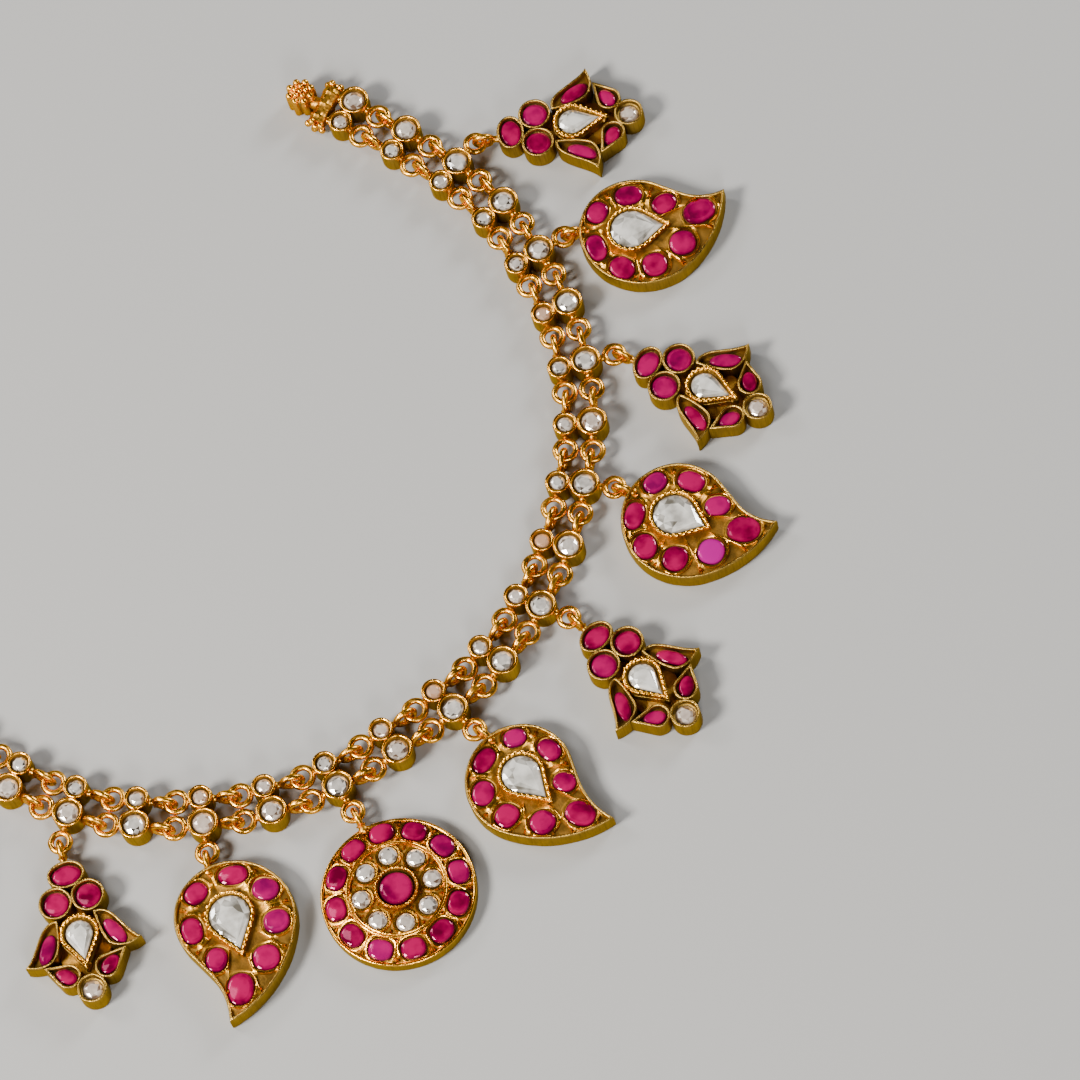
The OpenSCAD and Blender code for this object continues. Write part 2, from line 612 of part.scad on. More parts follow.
module lotus_setting(d) color(gold) at_drop(d) {
    bail(lotus_drop + lotus_wall);
    difference() {
        union() {
            translate(oval_at) cell(oval(oval_cell_w, oval_cell_l, 28));
            translate(foot_at) round_cell(foot_cell_d);
            both_sides() {
                translate(round_at) round_cell(round_cell_d);
                cell(petal_outline);
                translate(leaf_at) rotate(leaf_turn) cell(teardrop(leaf_r, leaf_r + leaf_run, 0, 20));
            }
            linear_extrude(web_h) polygon([
                foot_at, leaf_at, lotus_place(petal_foot), lotus_place(petal_top), round_at, oval_at,
                [-round_at[0], round_at[1]], [-lotus_place(petal_top)[0], lotus_place(petal_top)[1]],
                [-lotus_place(petal_foot)[0], lotus_place(petal_foot)[1]], [-leaf_at[0], leaf_at[1]]
            ]);
            translate(heart_place) {
                linear_extrude(lotus_h) polygon(teardrop(heart_r, heart_l, 0, 28));
                linear_extrude(heart_top_h) polygon(crimped(teardrop(heart_r, heart_l, -0.1, 38), crimp_depth));
            }
        }
        lotus_seats();
    }
}

module lotus_polki(d) color(white) at_drop(d) translate(heart_place)
    translate([0, 0, heart_girdle])
        cut_stone(teardrop(heart_stone_r, heart_stone_l, 0, 14), stone_deep, stone_crown, stone_table);

module lotus_rubies() color(ruby) for (d = of_kind("lotus")) at_drop(d) {
    translate(oval_at) lotus_stone(fitted(oval_cell_w, oval_cell_l, 12));
    both_sides() {
        translate(round_at) lotus_stone(oval(round_stone_d, round_stone_d, 10));
        at_petal_stone() lotus_stone(oval(petal_stone_size[0], petal_stone_size[1], 10));
        at_leaf_stone() lotus_stone(oval(leaf_stone_size[0], leaf_stone_size[1], 10));
    }
}

// Small diamonds of the drops: the medallion's ring and each lotus's foot
module drop_diamonds() color(white) {
    at_drop(of_kind("medallion")[0]) at_medallion() round_the_diamond_ring() translate([0, 0, diamond_ring_girdle])
        cut_stone(oval(diamond_ring_d, diamond_ring_d, 8), stone_deep, stone_crown, stone_table);
    for (d = of_kind("lotus")) at_drop(d) translate(foot_at)
        lotus_stone(oval(foot_stone_d, foot_stone_d, 8));
}

module chain_diamonds() for (i = [-half:half]) at_link(i) {
    at_large() collet_stone(large_stone_d);
    at_small() collet_stone(small_stone_d);
}

// Names of the links from the left end to the right end
function link_name(i) =
    i == -half ? "eye_end_link" :
    i == half ? "clasp_end_link" :
    str("chain_link_", i + half < 10 ? "0" : "", i + half);
mangoes = of_kind("mango");
lotuses = of_kind("lotus");

for (i = [-half:half]) link(i);
chain_diamonds();
medallion_setting();
medallion_centre_ruby();
medallion_rubies();
for (k = [1:len(mangoes)]) {
    mango_setting(mangoes[k - 1]);
    mango_polki(mangoes[k - 1]);
}
mango_rubies();
for (k = [1:len(lotuses)]) {
    lotus_setting(lotuses[k - 1]);
    lotus_polki(lotuses[k - 1]);
}
lotus_rubies();
drop_diamonds();
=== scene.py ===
import random
from math import asin, atan2, cos, degrees, hypot, pi, radians, sin, sqrt
import bpy
import bmesh
from mathutils import Matrix, Vector, noise
from mathutils.geometry import interpolate_bezier


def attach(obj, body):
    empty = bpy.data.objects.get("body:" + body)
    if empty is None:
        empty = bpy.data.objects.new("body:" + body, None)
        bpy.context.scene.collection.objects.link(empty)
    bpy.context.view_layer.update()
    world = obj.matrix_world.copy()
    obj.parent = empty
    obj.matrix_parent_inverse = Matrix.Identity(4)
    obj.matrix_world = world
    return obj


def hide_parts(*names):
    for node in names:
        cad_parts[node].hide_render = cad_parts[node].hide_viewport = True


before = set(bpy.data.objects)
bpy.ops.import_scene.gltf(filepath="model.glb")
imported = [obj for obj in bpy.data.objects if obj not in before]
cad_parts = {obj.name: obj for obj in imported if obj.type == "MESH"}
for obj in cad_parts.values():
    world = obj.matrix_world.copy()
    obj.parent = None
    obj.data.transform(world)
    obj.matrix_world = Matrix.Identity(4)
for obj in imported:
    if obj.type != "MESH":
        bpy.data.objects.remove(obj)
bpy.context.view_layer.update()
mm = 0.001  # shapes are drawn in millimetres and brought to metres when a piece is finished
random.seed(7)
print("frame loaded:", len(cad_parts), "nodes")


# Camera, floor and light

cameraPlace = {"position": (0.0156, -0.4927, 0.9928), "aim": (0.05409, -0.02066, 0.0), "roll": 19.3,
               "lens": 190.7}


def makeCamera(place):
    data = bpy.data.cameras.new("photoCamera")
    camera = bpy.data.objects.new("photoCamera", data)
    bpy.context.scene.collection.objects.link(camera)
    data.lens = place["lens"]
    data.sensor_width = 36
    data.clip_start = 0.05
    data.clip_end = 20
    position, aim = Vector(place["position"]), Vector(place["aim"])
    back = (position - aim).normalized()
    right = Vector((0, 0, 1)).cross(back).normalized()
    up = back.cross(right)
    roll = radians(place["roll"])
    across = right * cos(roll) - up * sin(roll)
    upward = up * cos(roll) + right * sin(roll)
    camera.matrix_world = Matrix((across, upward, back)).transposed().to_4x4()
    camera.matrix_world.translation = position
    bpy.context.scene.camera = camera
    return camera


lights = [
    {"name": "keyLight", "from": (-0.91, -0.24, 0.90), "size": 0.33, "power": 46.0,
     "colour": (1.0, 0.97, 0.92)},
    {"name": "frontStrip", "from": (-0.10, -0.80, 0.50), "size": 0.24, "power": 6.5,
     "colour": (1.0, 0.98, 0.95)},
    {"name": "backSoftbox", "from": (-0.62, 0.66, 0.76), "size": 0.30, "power": 6.5,
     "colour": (1.0, 0.98, 0.96)},
    {"name": "overheadSheet", "from": (-0.48, 0.36, 1.08), "size": 0.30, "power": 2.4,
     "colour": (1.0, 0.97, 0.95)},
    {"name": "sideFill", "from": (0.75, 0.35, 0.42), "size": 0.24, "power": 7.5,
     "colour": (0.96, 0.98, 1.0)},
]


def makeLight(light, aim=(0.04, 0.0, 0.0)):
    data = bpy.data.lights.new(light["name"], "AREA")
    data.shape = "SQUARE"
    data.size = light["size"]
    data.energy = light["power"]
    data.color = light["colour"]
    lamp = bpy.data.objects.new(light["name"], data)
    bpy.context.scene.collection.objects.link(lamp)
    lamp.location = light["from"]
    lamp.rotation_euler = (Vector(light["from"]) - Vector(aim)).to_track_quat("Z", "Y").to_euler()


def makeWorld(strength=0.05):
    world = bpy.data.worlds.new("studio")
    world.use_nodes = True
    world.node_tree.nodes["Background"].inputs["Color"].default_value = (0.80, 0.82, 0.86, 1)
    world.node_tree.nodes["Background"].inputs["Strength"].default_value = strength
    bpy.context.scene.world = world


makeCamera(cameraPlace)
for light in lights:
    makeLight(light)
makeWorld()


# Materials

def newMaterial(name):
    material = bpy.data.materials.new(name)
    material.use_nodes = True
    nodes, links = material.node_tree.nodes, material.node_tree.links
    return material, nodes, links, nodes["Principled BSDF"]


def mixColours(nodes, links, factor, first, second):
    mix = nodes.new("ShaderNodeMix")
    mix.data_type = "RGBA"
    links.new(factor, mix.inputs[0])
    for value, socket in ((first, mix.inputs[6]), (second, mix.inputs[7])):
        if isinstance(value, bpy.types.NodeSocket):
            links.new(value, socket)
        else:
            socket.default_value = (*value, 1)
    return mix.outputs[2]


def remap(nodes, links, value, low, high, fromLow=0.0, fromHigh=1.0):
    node = nodes.new("ShaderNodeMapRange")
    links.new(value, node.inputs["Value"])
    node.inputs["From Min"].default_value = fromLow
    node.inputs["From Max"].default_value = fromHigh
    node.inputs["To Min"].default_value = low
    node.inputs["To Max"].default_value = high
    return node.outputs["Result"]


# Marks of hand work: fine ones that can run upright, and a broad mottle
def makeHandworkGroup():
    group = bpy.data.node_groups.new("handwork", "ShaderNodeTree")
    group.interface.new_socket("Grain", in_out="INPUT", socket_type="NodeSocketFloat")
    group.interface.new_socket("Upright", in_out="INPUT", socket_type="NodeSocketFloat")
    group.interface.new_socket("Mottle", in_out="OUTPUT", socket_type="NodeSocketFloat")
    group.interface.new_socket("Marks", in_out="OUTPUT", socket_type="NodeSocketFloat")
    nodes, links = group.nodes, group.links
    inside, outside = nodes.new("NodeGroupInput"), nodes.new("NodeGroupOutput")
    place = nodes.new("ShaderNodeTexCoord")
    stretch = nodes.new("ShaderNodeCombineXYZ")
    stretch.inputs[0].default_value = stretch.inputs[1].default_value = 1
    links.new(inside.outputs["Upright"], stretch.inputs[2])
    along = nodes.new("ShaderNodeVectorMath")
    along.operation = "MULTIPLY"
    links.new(place.outputs["Object"], along.inputs[0])
    links.new(stretch.outputs[0], along.inputs[1])
    fine = nodes.new("ShaderNodeTexNoise")
    fine.inputs["Detail"].default_value = 3
    links.new(along.outputs[0], fine.inputs["Vector"])
    links.new(inside.outputs["Grain"], fine.inputs["Scale"])
    broad = nodes.new("ShaderNodeTexNoise")
    broad.inputs["Scale"].default_value = 420
    broad.inputs["Detail"].default_value = 4
    links.new(place.outputs["Object"], broad.inputs["Vector"])
    links.new(broad.outputs["Fac"], outside.inputs["Mottle"])
    links.new(fine.outputs["Fac"], outside.inputs["Marks"])
    return group


handwork = makeHandworkGroup()


def makeGold(name, finish):
    material, nodes, links, shader = newMaterial(name)
    marks = nodes.new("ShaderNodeGroup")
    marks.node_tree = handwork
    marks.inputs["Grain"].default_value = finish["grain"]
    marks.inputs["Upright"].default_value = finish["upright"]
    # A per-vertex mark runs from painted shade in recesses (0) to polished crests (1): recesses get a dark
    # gold that stands for the shade falling in them
    polishAndShade = nodes.new("ShaderNodeAttribute")
    polishAndShade.attribute_name = "polishAndShade"
    recessShaded = mixColours(nodes, links, polishAndShade.outputs["Fac"], finish["deep"], finish["bright"])
    mottle = remap(nodes, links, marks.outputs["Mottle"], 0.0, finish["mottle"], 0.35, 0.7)
    stained = mixColours(nodes, links, mottle, recessShaded, finish["stain"])
    # Fine marks darken towards the same dark colour, as the metal's own grain
    hatch = remap(nodes, links, marks.outputs["Marks"], 0.0, finish["hatch"], 0.48, 0.66)
    links.new(mixColours(nodes, links, hatch, stained, finish["deep"]), shader.inputs["Base Color"])
    rough = remap(nodes, links, polishAndShade.outputs["Fac"], finish["deepRough"], finish["rough"])
    uneven = nodes.new("ShaderNodeMath")
    uneven.operation = "ADD"
    links.new(rough, uneven.inputs[0])
    links.new(remap(nodes, links, marks.outputs["Mottle"], -0.06, 0.10, 0.3, 0.7), uneven.inputs[1])
    links.new(uneven.outputs[0], shader.inputs["Roughness"])
    shader.inputs["Metallic"].default_value = 1
    shader.inputs["Specular Tint"].default_value = (1.0, 0.78, 0.30, 1)
    bump = nodes.new("ShaderNodeBump")
    bump.inputs["Strength"].default_value = finish["bump"]
    bump.inputs["Distance"].default_value = finish["bumpDepth"]
    links.new(marks.outputs["Marks"], bump.inputs["Height"])
    links.new(bump.outputs["Normal"], shader.inputs["Normal"])
    return material


# Each finish's dark colour is painted shade for recesses, and also the dark of its fine marks
goldFinish = {
    "bright": (1.0, 0.47, 0.040), "deep": (0.130, 0.068, 0.012), "stain": (0.56, 0.27, 0.045),
    "mottle": 0.32, "rough": 0.20, "deepRough": 0.50, "grain": 2600, "upright": 1.0,
    "hatch": 0.30, "bump": 0.6, "bumpDepth": 0.00010,
}
# Outer walls: the gold painted darker all over as painted shade, with its real upright brushing
shadedWallFinish = {
    "bright": (0.46, 0.275, 0.055), "deep": (0.16, 0.096, 0.020), "stain": (0.16, 0.096, 0.020),
    "mottle": 0.4, "rough": 0.30, "deepRough": 0.42, "grain": 3400, "upright": 0.05,
    "hatch": 0.6, "bump": 1.0, "bumpDepth": 0.00012,
}
goldMaterial = makeGold("handWorkedGold", goldFinish)
shadedWallMaterial = makeGold("brushedGoldWallShaded", shadedWallFinish)


# A foiled stone: the tone of each facet is painted light, and the dark of its edge is painted shade (brown
# on diamonds, a painted reflection of the gold), both drawn on the mesh
def makeStone(name, look):
    material, nodes, links, shader = newMaterial(name)
    facetLight = nodes.new("ShaderNodeAttribute")
    facetLight.attribute_name = "facetLight"
    edge = nodes.new("ShaderNodeAttribute")
    edge.attribute_name = "edge"
    tint = nodes.new("ShaderNodeAttribute")
    tint.attribute_name = "tint"
    cloud = nodes.new("ShaderNodeTexNoise")
    place = nodes.new("ShaderNodeTexCoord")
    links.new(place.outputs["Object"], cloud.inputs["Vector"])
    cloud.inputs["Scale"].default_value = look["cloud"]
    cloud.inputs["Detail"].default_value = 3
    # A soft cloud adds painted light and shade across the stone as it mixes the shade and light colours
    tone = nodes.new("ShaderNodeMath")
    tone.operation = "ADD"
    tone.use_clamp = True
    links.new(facetLight.outputs["Fac"], tone.inputs[0])
    links.new(remap(nodes, links, cloud.outputs["Fac"], -look["depth"], look["depth"], 0.3, 0.7),
              tone.inputs[1])
    lit = mixColours(nodes, links, tone.outputs[0], look["shade"], look["light"])
    tinted = mixColours(nodes, links, tint.outputs["Fac"], lit, look["tint"])
    # Painted shade darkens the stone towards its edge
    rim = remap(nodes, links, edge.outputs["Fac"], 0.0, look["edgeShare"], look["edgeFrom"], 1.0)
    links.new(mixColours(nodes, links, rim, tinted, look["rim"]), shader.inputs["Base Color"])
    links.new(remap(nodes, links, cloud.outputs["Fac"], look["rough"], look["rough"] + 0.07, 0.35, 0.75),
              shader.inputs["Roughness"])
    bump = nodes.new("ShaderNodeBump")
    bump.inputs["Strength"].default_value = look["bump"]
    bump.inputs["Distance"].default_value = 0.0001
    links.new(cloud.outputs["Fac"], bump.inputs["Height"])
    links.new(bump.outputs["Normal"], shader.inputs["Normal"])
    shader.inputs["Metallic"].default_value = look["metallic"]
    shader.inputs["IOR"].default_value = look["ior"]
    shader.inputs["Coat Weight"].default_value = look["coat"]
    shader.inputs["Coat Roughness"].default_value = 0.05
    shader.inputs["Specular Tint"].default_value = (*look["glint"], 1)
    return material


# shade and light are the painted shade and painted light of the facets; rim is the painted shade at a
# stone's edge; tint is the stone's own colour
rubyLook = {
    "shade": (0.060, 0.0002, 0.010), "light": (0.240, 0.0002, 0.046), "tint": (0.28, 0.0005, 0.15),
    "rim": (0.014, 0.0002, 0.003),
    "glint": (1.0, 0.26, 0.44), "edgeFrom": 0.55, "edgeShare": 0.80, "depth": 0.7, "rough": 0.05,
    "cloud": 240, "bump": 0.2, "metallic": 0.0, "ior": 1.55, "coat": 0.0,
}
# The diamond's brown rim is a painted reflection of the gold round it
diamondLook = {
    "shade": (0.03, 0.024, 0.018), "light": (0.72, 0.675, 0.615), "tint": (0.52, 0.28, 0.15),
    "rim": (0.26, 0.165, 0.085),
    "glint": (1.0, 1.0, 1.0),
    "edgeFrom": 0.70, "edgeShare": 0.6, "depth": 0.15, "rough": 0.04, "cloud": 900, "bump": 0.05,
    "metallic": 0.3, "ior": 2.2, "coat": 0.3,
}
polkiLook = {
    "shade": (0.10, 0.09, 0.072), "light": (0.60, 0.58, 0.535), "tint": (0.52, 0.49, 0.44),
    "rim": (0.14, 0.105, 0.06),
    "glint": (1.0, 1.0, 1.0),
    "edgeFrom": 0.80, "edgeShare": 0.6, "depth": 0.4, "rough": 0.03, "cloud": 330, "bump": 0.25,
    "metallic": 0.2, "ior": 1.9, "coat": 0.0,
}
rubyMaterial = makeStone("foiledRuby", rubyLook)
diamondMaterial = makeStone("cutDiamond", diamondLook)
polkiMaterial = makeStone("flatDiamond", polkiLook)


# A hair below the necklace, so that its flat backs don't flicker against it
floorLook = {"size": 1.6, "middle": (0, 0.3, -0.00006), "colour": (0.275, 0.272, 0.266), "rough": 0.85}


def makeFloor():
    bm = bmesh.new()
    bmesh.ops.create_grid(bm, x_segments=2, y_segments=2, size=floorLook["size"])
    bmesh.ops.translate(bm, verts=bm.verts, vec=floorLook["middle"])
    mesh = bpy.data.meshes.new("paleFloor")
    bm.to_mesh(mesh)
    bm.free()
    floor = bpy.data.objects.new("paleFloor", mesh)
    bpy.context.scene.collection.objects.link(floor)
    material, nodes, links, shader = newMaterial("palePaper")
    shader.inputs["Base Color"].default_value = (*floorLook["colour"], 1)
    shader.inputs["Roughness"].default_value = floorLook["rough"]
    mesh.materials.append(material)


makeFloor()
print("camera, light and materials made")


# Shapes that every piece is drawn with

def newDrawing():
    # Marks drawn on the mesh: polish of the gold with painted shade where it is low, painted shade at a
    # stone's edge, the stone's own tint, and painted light on each facet
    bm = bmesh.new()
    bm.verts.layers.float.new("polishAndShade")
    bm.verts.layers.float.new("edge")
    bm.verts.layers.float.new("tint")
    bm.faces.layers.float.new("facetLight")
    return bm


def turned(angle, x=0.0, y=0.0, z=0.0):
    return Matrix.Translation((x, y, z)) @ Matrix.Rotation(radians(angle), 4, "Z")


def shifted(x, y, z):
    return Matrix.Translation((x, y, z))


def rolled(angle, axis):
    return Matrix.Rotation(angle, 4, axis)


# Slightly off level, as stones set by hand are
def tilted(amount):
    return rolled(random.uniform(-amount, amount), "X") @ rolled(random.uniform(-amount, amount), "Y")


def ray(angle):
    return Vector((cos(radians(angle)), sin(radians(angle))))


def since(sequence, known):
    return [part for part in sequence if part not in known]


def firstRing(bm, points, height, polishAndShade):
    layer = bm.verts.layers.float["polishAndShade"]
    circle = bmesh.ops.create_circle(bm, segments=len(points), radius=1)["verts"]
    ring = sorted(circle, key=lambda vert: atan2(vert.co.y, vert.co.x))
    for vert, point in zip(ring, points):
        vert.co = (point[0], point[1], height)
        vert[layer] = polishAndShade
    return ring


def ringEdges(bm, ring):
    return [bm.edges.get(pair) for pair in zip(ring, ring[1:] + ring[:1])]


def nextRing(bm, ring):
    made = set(bmesh.ops.extrude_edge_only(bm, edges=ringEdges(bm, ring))["geom"])
    return [next(e.other_vert(v) for e in v.link_edges if e.other_vert(v) in made) for v in ring]


def closeRing(bm, ring):
    for face in bmesh.ops.contextual_create(bm, geom=ringEdges(bm, ring))["faces"]:
        face.material_index = 0


# The same outline drawn in by depth
def drawnIn(points, depth):
    count = len(points)
    result = []
    for k, p in enumerate(points):
        before = (p - points[k - 1]).normalized()
        after = (points[(k + 1) % count] - p).normalized()
        a, b = Vector((-before.y, before.x)), Vector((-after.y, after.x))
        result.append(p + (a + b) * (depth / (1 + a.dot(b))))
    return result


def moved(outline, place, turn=0.0):
    matrix = turned(turn, place.x, place.y)
    return [(matrix @ Vector((*p, 0))).to_2d() for p in outline]


# The same outline with its points evenly spaced
def evenly(points, count):
    sides = [(b - a).length for a, b in zip(points, points[1:] + points[:1])]
    step = sum(sides) / count
    result, side, walked = [], 0, 0.0
    for k in range(count):
        target = k * step
        while walked + sides[side] < target - 1e-9:
            walked += sides[side]
            side += 1
        share = (target - walked) / sides[side]
        result.append(points[side].lerp(points[(side + 1) % len(points)], share))
    return result


# Rings drawn in step by step from an outline: (drawn in by, height, polish, low where shade is painted),
# and the last is closed; the first wall steps take the wall material with its painted shade
def stepped(bm, outline, steps, base=True, wall=0, shape=None):
    layer = bm.verts.layers.float["polishAndShade"]
    ring = firstRing(bm, drawnIn(outline, steps[0][0]), steps[0][1], steps[0][2])
    if base:
        closeRing(bm, ring)
    for number, (depth, height, polishAndShade) in enumerate(steps[1:]):
        known = set(bm.faces)
        ring = nextRing(bm, ring)
        for vert, point in zip(ring, drawnIn(outline, depth)):
            vert.co = (point.x, point.y, height)
            vert[layer] = polishAndShade
        if shape:
            shape(ring, number + 1)
        if number < wall:
            for face in since(bm.faces, known):
                face.material_index = 1
    closeRing(bm, ring)
    return ring


# Turned shape: (radius, height, polish, low where shade is painted) from the bottom to the top; upright
# outer faces within the wall spans take the wall material with its painted shade
def spun(bm, profile, segments=48, matrix=None, wall=()):
    layer = bm.verts.layers.float["polishAndShade"]
    knownVerts, known = set(bm.verts), set(bm.faces)
    verts = []
    for radius, height, polishAndShade in profile:
        vert = bm.verts.new((radius, 0, height))
        vert[layer] = polishAndShade
        verts.append(vert)
    edges = [bm.edges.new(pair) for pair in zip(verts, verts[1:])]
    bmesh.ops.spin(bm, geom=verts + edges, cent=(0, 0, 0), axis=(0, 0, 1), angle=2 * pi, steps=segments,
                   use_merge=True, use_duplicate=False)
    bmesh.ops.remove_doubles(bm, verts=since(bm.verts, knownVerts), dist=0.0001)
    made, faces = since(bm.verts, knownVerts), since(bm.faces, known)
    bmesh.ops.recalc_face_normals(bm, faces=faces)
    outside = 0.8 * max(p[0] for p in profile)
    for low, high in wall:
        for face in faces:
            middle = face.calc_center_median()
            upright = abs(face.normal.z) < 0.5
            if low < middle.z < high and upright and hypot(middle.x, middle.y) > outside:
                face.material_index = 1
    if matrix:
        bmesh.ops.transform(bm, matrix=matrix, verts=made)
    return made


# Ring of round wire
def wireRing(bm, radius, wire, matrix, segments=28, sides=10, wobble=0.0):
    layer = bm.verts.layers.float["polishAndShade"]
    known = set(bm.verts)
    circle = bmesh.ops.create_circle(bm, segments=sides, radius=wire / 2,
                                     matrix=shifted(radius, 0, 0) @ rolled(pi / 2, "X"))["verts"]
    bmesh.ops.spin(bm, geom=circle + list({e for v in circle for e in v.link_edges}), cent=(0, 0, 0),
                   axis=(0, 0, 1), angle=2 * pi, steps=segments, use_merge=True, use_duplicate=False)
    made = since(bm.verts, known)
    for vert in made:
        vert[layer] = 0.85
        if wobble:
            vert.co += noise.noise_vector(vert.co * 0.9 + Vector((wobble * 37, 0, 0))) * wire * 0.05
    bmesh.ops.transform(bm, matrix=matrix, verts=made)
    return made


# Neck of solder from one point to another, wider at its ends
def solderStem(bm, start, end, radius, flare, matrix=None):
    start, end = Vector(start), Vector(end)
    length = (end - start).length
    # Its flared ends are painted darker, as shade where the solder meets the parts
    profile = [(0, 0, 0.4), (radius + flare, 0, 0.4), (radius + 0.45 * flare, 0.12 * length, 0.55),
               (radius, 0.36 * length, 0.7), (radius, 0.64 * length, 0.7),
               (radius + 0.45 * flare, 0.88 * length, 0.55), (radius + flare, length, 0.4),
               (0, length, 0.4)]
    place = Matrix.Translation(start) @ (end - start).to_track_quat("Z", "Y").to_matrix().to_4x4()
    return spun(bm, profile, 14, (matrix @ place) if matrix else place)


def bead(bm, place, diameter, polishAndShade=0.9, flat=1.0):
    layer = bm.verts.layers.float["polishAndShade"]
    matrix = Matrix.Translation(place) @ Matrix.Diagonal((1, 1, flat, 1))
    for vert in bmesh.ops.create_icosphere(bm, subdivisions=2, radius=diameter / 2, matrix=matrix)["verts"]:
        vert[layer] = polishAndShade


def addCopy(bm, mesh, matrix):
    knownVerts, knownFaces = set(bm.verts), set(bm.faces)
    bm.from_mesh(mesh)
    bmesh.ops.transform(bm, matrix=matrix, verts=since(bm.verts, knownVerts))
    if matrix.determinant() < 0:
        bmesh.ops.reverse_faces(bm, faces=since(bm.faces, knownFaces))


# A shape that is drawn once and placed many times
def template(draw, *details):
    bm = newDrawing()
    draw(bm, *details)
    mesh = bpy.data.meshes.new("template")
    bm.to_mesh(mesh)
    bm.free()
    return mesh


# Small unevenness of hand work, upright places left on the floor
def handMade(bm, amount, scale=0.6):
    for vert in bm.verts:
        drift = noise.noise_vector(vert.co * scale) * amount
        vert.co.x += drift.x
        vert.co.y += drift.y
        if 0.3 < vert.co.z:
            vert.co.z += drift.z * 0.6


def finishPiece(name, bm, materials, replaced, smoothAngle=58):
    bmesh.ops.transform(bm, matrix=Matrix.Diagonal((mm, mm, mm, 1)), verts=bm.verts)
    mesh = bpy.data.meshes.new(name)
    bm.to_mesh(mesh)
    bm.free()
    for material in materials:
        mesh.materials.append(material)
    if smoothAngle:
        mesh.shade_smooth()
        mesh.set_sharp_from_angle(angle=radians(smoothAngle))
    piece = bpy.data.objects.new(name, mesh)
    bpy.context.scene.collection.objects.link(piece)
    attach(piece, "root")
    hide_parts(*replaced)
    return piece


# Layout of the necklace, shared by the settings and their stones

layout = {
    "start": (-0.44, -50.16), "pitch": 12.8, "pairLean": 4.5,
    "rightSteps": (8, 14, 22, 34, 44, 54, 61, 73, 83, 93, 100, 112, 120, 123),
    "leftFrontSteps": (3, 15, 24, 36, 48),
}
chain = {
    "largeD": 6.0, "smallD": 4.8, "height": 4.8, "wall": 0.55, "ledge": 3.9, "pairGap": 5.28,
    "largeStone": 4.2, "smallStone": 3.1, "ringR": 2.0, "wire": 1.2, "level": 2.7, "ringStep": 2.2,
    "dropRingR": 1.85, "dropReach": 5.65, "bailR": 1.7, "bailStep": 1.7,
}
half = len(layout["rightSteps"])
rightSteps = list(layout["rightSteps"])
leftSteps = list(layout["leftFrontSteps"]) + rightSteps[len(layout["leftFrontSteps"]):]
meanTurn = (rightSteps[-1] + leftSteps[-1]) / (2 * half - 1)
spread = chain["pairGap"] * sin(radians(meanTurn / 2))
largeReach = (layout["pitch"] + spread - chain["ringStep"]) / 2
smallReach = (layout["pitch"] - spread - chain["ringStep"]) / 2
largeY, smallY = -chain["pairGap"] / 2, chain["pairGap"] / 2
ringRows = ((largeReach, largeY, chain["largeD"] / 2), (smallReach, smallY, chain["smallD"] / 2))


def stepHeading(i):
    return rightSteps[i] if i >= 0 else -leftSteps[-i - 1]


def linkMiddle(i):
    place = Vector(layout["start"])
    for k in range(0, i):
        place += layout["pitch"] * ray(stepHeading(k))
    for k in range(-1, i - 1, -1):
        place -= layout["pitch"] * ray(stepHeading(k))
    return place


def linkTurn(i):
    if i == -half:
        return stepHeading(i)
    if i == half:
        return stepHeading(i - 1)
    return (stepHeading(i - 1) + stepHeading(i)) / 2


def linkPlace(i):
    middle = linkMiddle(i)
    return turned(linkTurn(i), middle.x, middle.y)


largePlace = turned(layout["pairLean"]) @ shifted(0, largeY, 0)
smallPlace = turned(layout["pairLean"]) @ shifted(0, smallY, 0)

# Link that it hangs from, kind, heading and step to the side
drops = [
    (-12, "lotus", 195.5, -0.3), (-10, "mango", 189.6, -0.2), (-8, "lotus", 229, -0.3),
    (-6, "mango", 219.4, 0.2), (-4, "lotus", 262, -0.2), (-2, "mango", 258, -0.3),
    (0, "medallion", 275.5, 0.1),
    (2, "mango", 300, 0.3), (4, "lotus", 293, 0.3), (6, "mango", 320.6, -0.2),
    (8, "lotus", 311, 0.3), (10, "mango", 350.4, 0.2), (12, "lotus", 344.5, 0.3),
]


def dropPlace(drop):
    i, kind, heading, sway = drop
    outward = ray(linkTurn(i) + layout["pairLean"] - 90)
    ringAt = linkMiddle(i) + (chain["pairGap"] / 2 + chain["dropReach"]) * outward
    place = turned(heading + 90, ringAt.x, ringAt.y) @ shifted(sway, 0, 0)
    return place @ Matrix.Diagonal((-1, 1, 1, 1)) if kind == "mango" and i < 0 else place


def dropsOf(kind):
    return [drop for drop in drops if drop[1] == kind]


# Stones

def ovalOutline(width, length, count, start=0.0):
    return [Vector((width / 2 * cos(2 * pi * (k + start) / count),
                    length / 2 * sin(2 * pi * (k + start) / count))) for k in range(count)]


# Round end at the origin, tip towards -Y
def teardropOutline(radius, length, grown, count):
    tip = asin(radius / (length - radius))
    points = []
    for k in range(count - 1):
        angle = -tip + (pi + 2 * tip) * k / (count - 2)
        points.append(Vector(((radius + grown) * cos(angle), (radius + grown) * sin(angle))))
    points.append(Vector((0, -(length - radius) - grown / sin(tip))))
    return points


# Painted light on facets: facets facing up are painted lighter, with a small random spread, and a table
# gets a painted light of its own
facetLightTone = {"base": 0.35, "upward": 0.25, "tableSpread": 0.08, "tableLevel": 0.999, "sameFacet": 2.5}


def facetLightShare(rng, normal, spreadTone):
    tone = facetLightTone["base"] + facetLightTone["upward"] * normal.z
    return min(1, max(0, tone + rng.uniform(-spreadTone, spreadTone)))
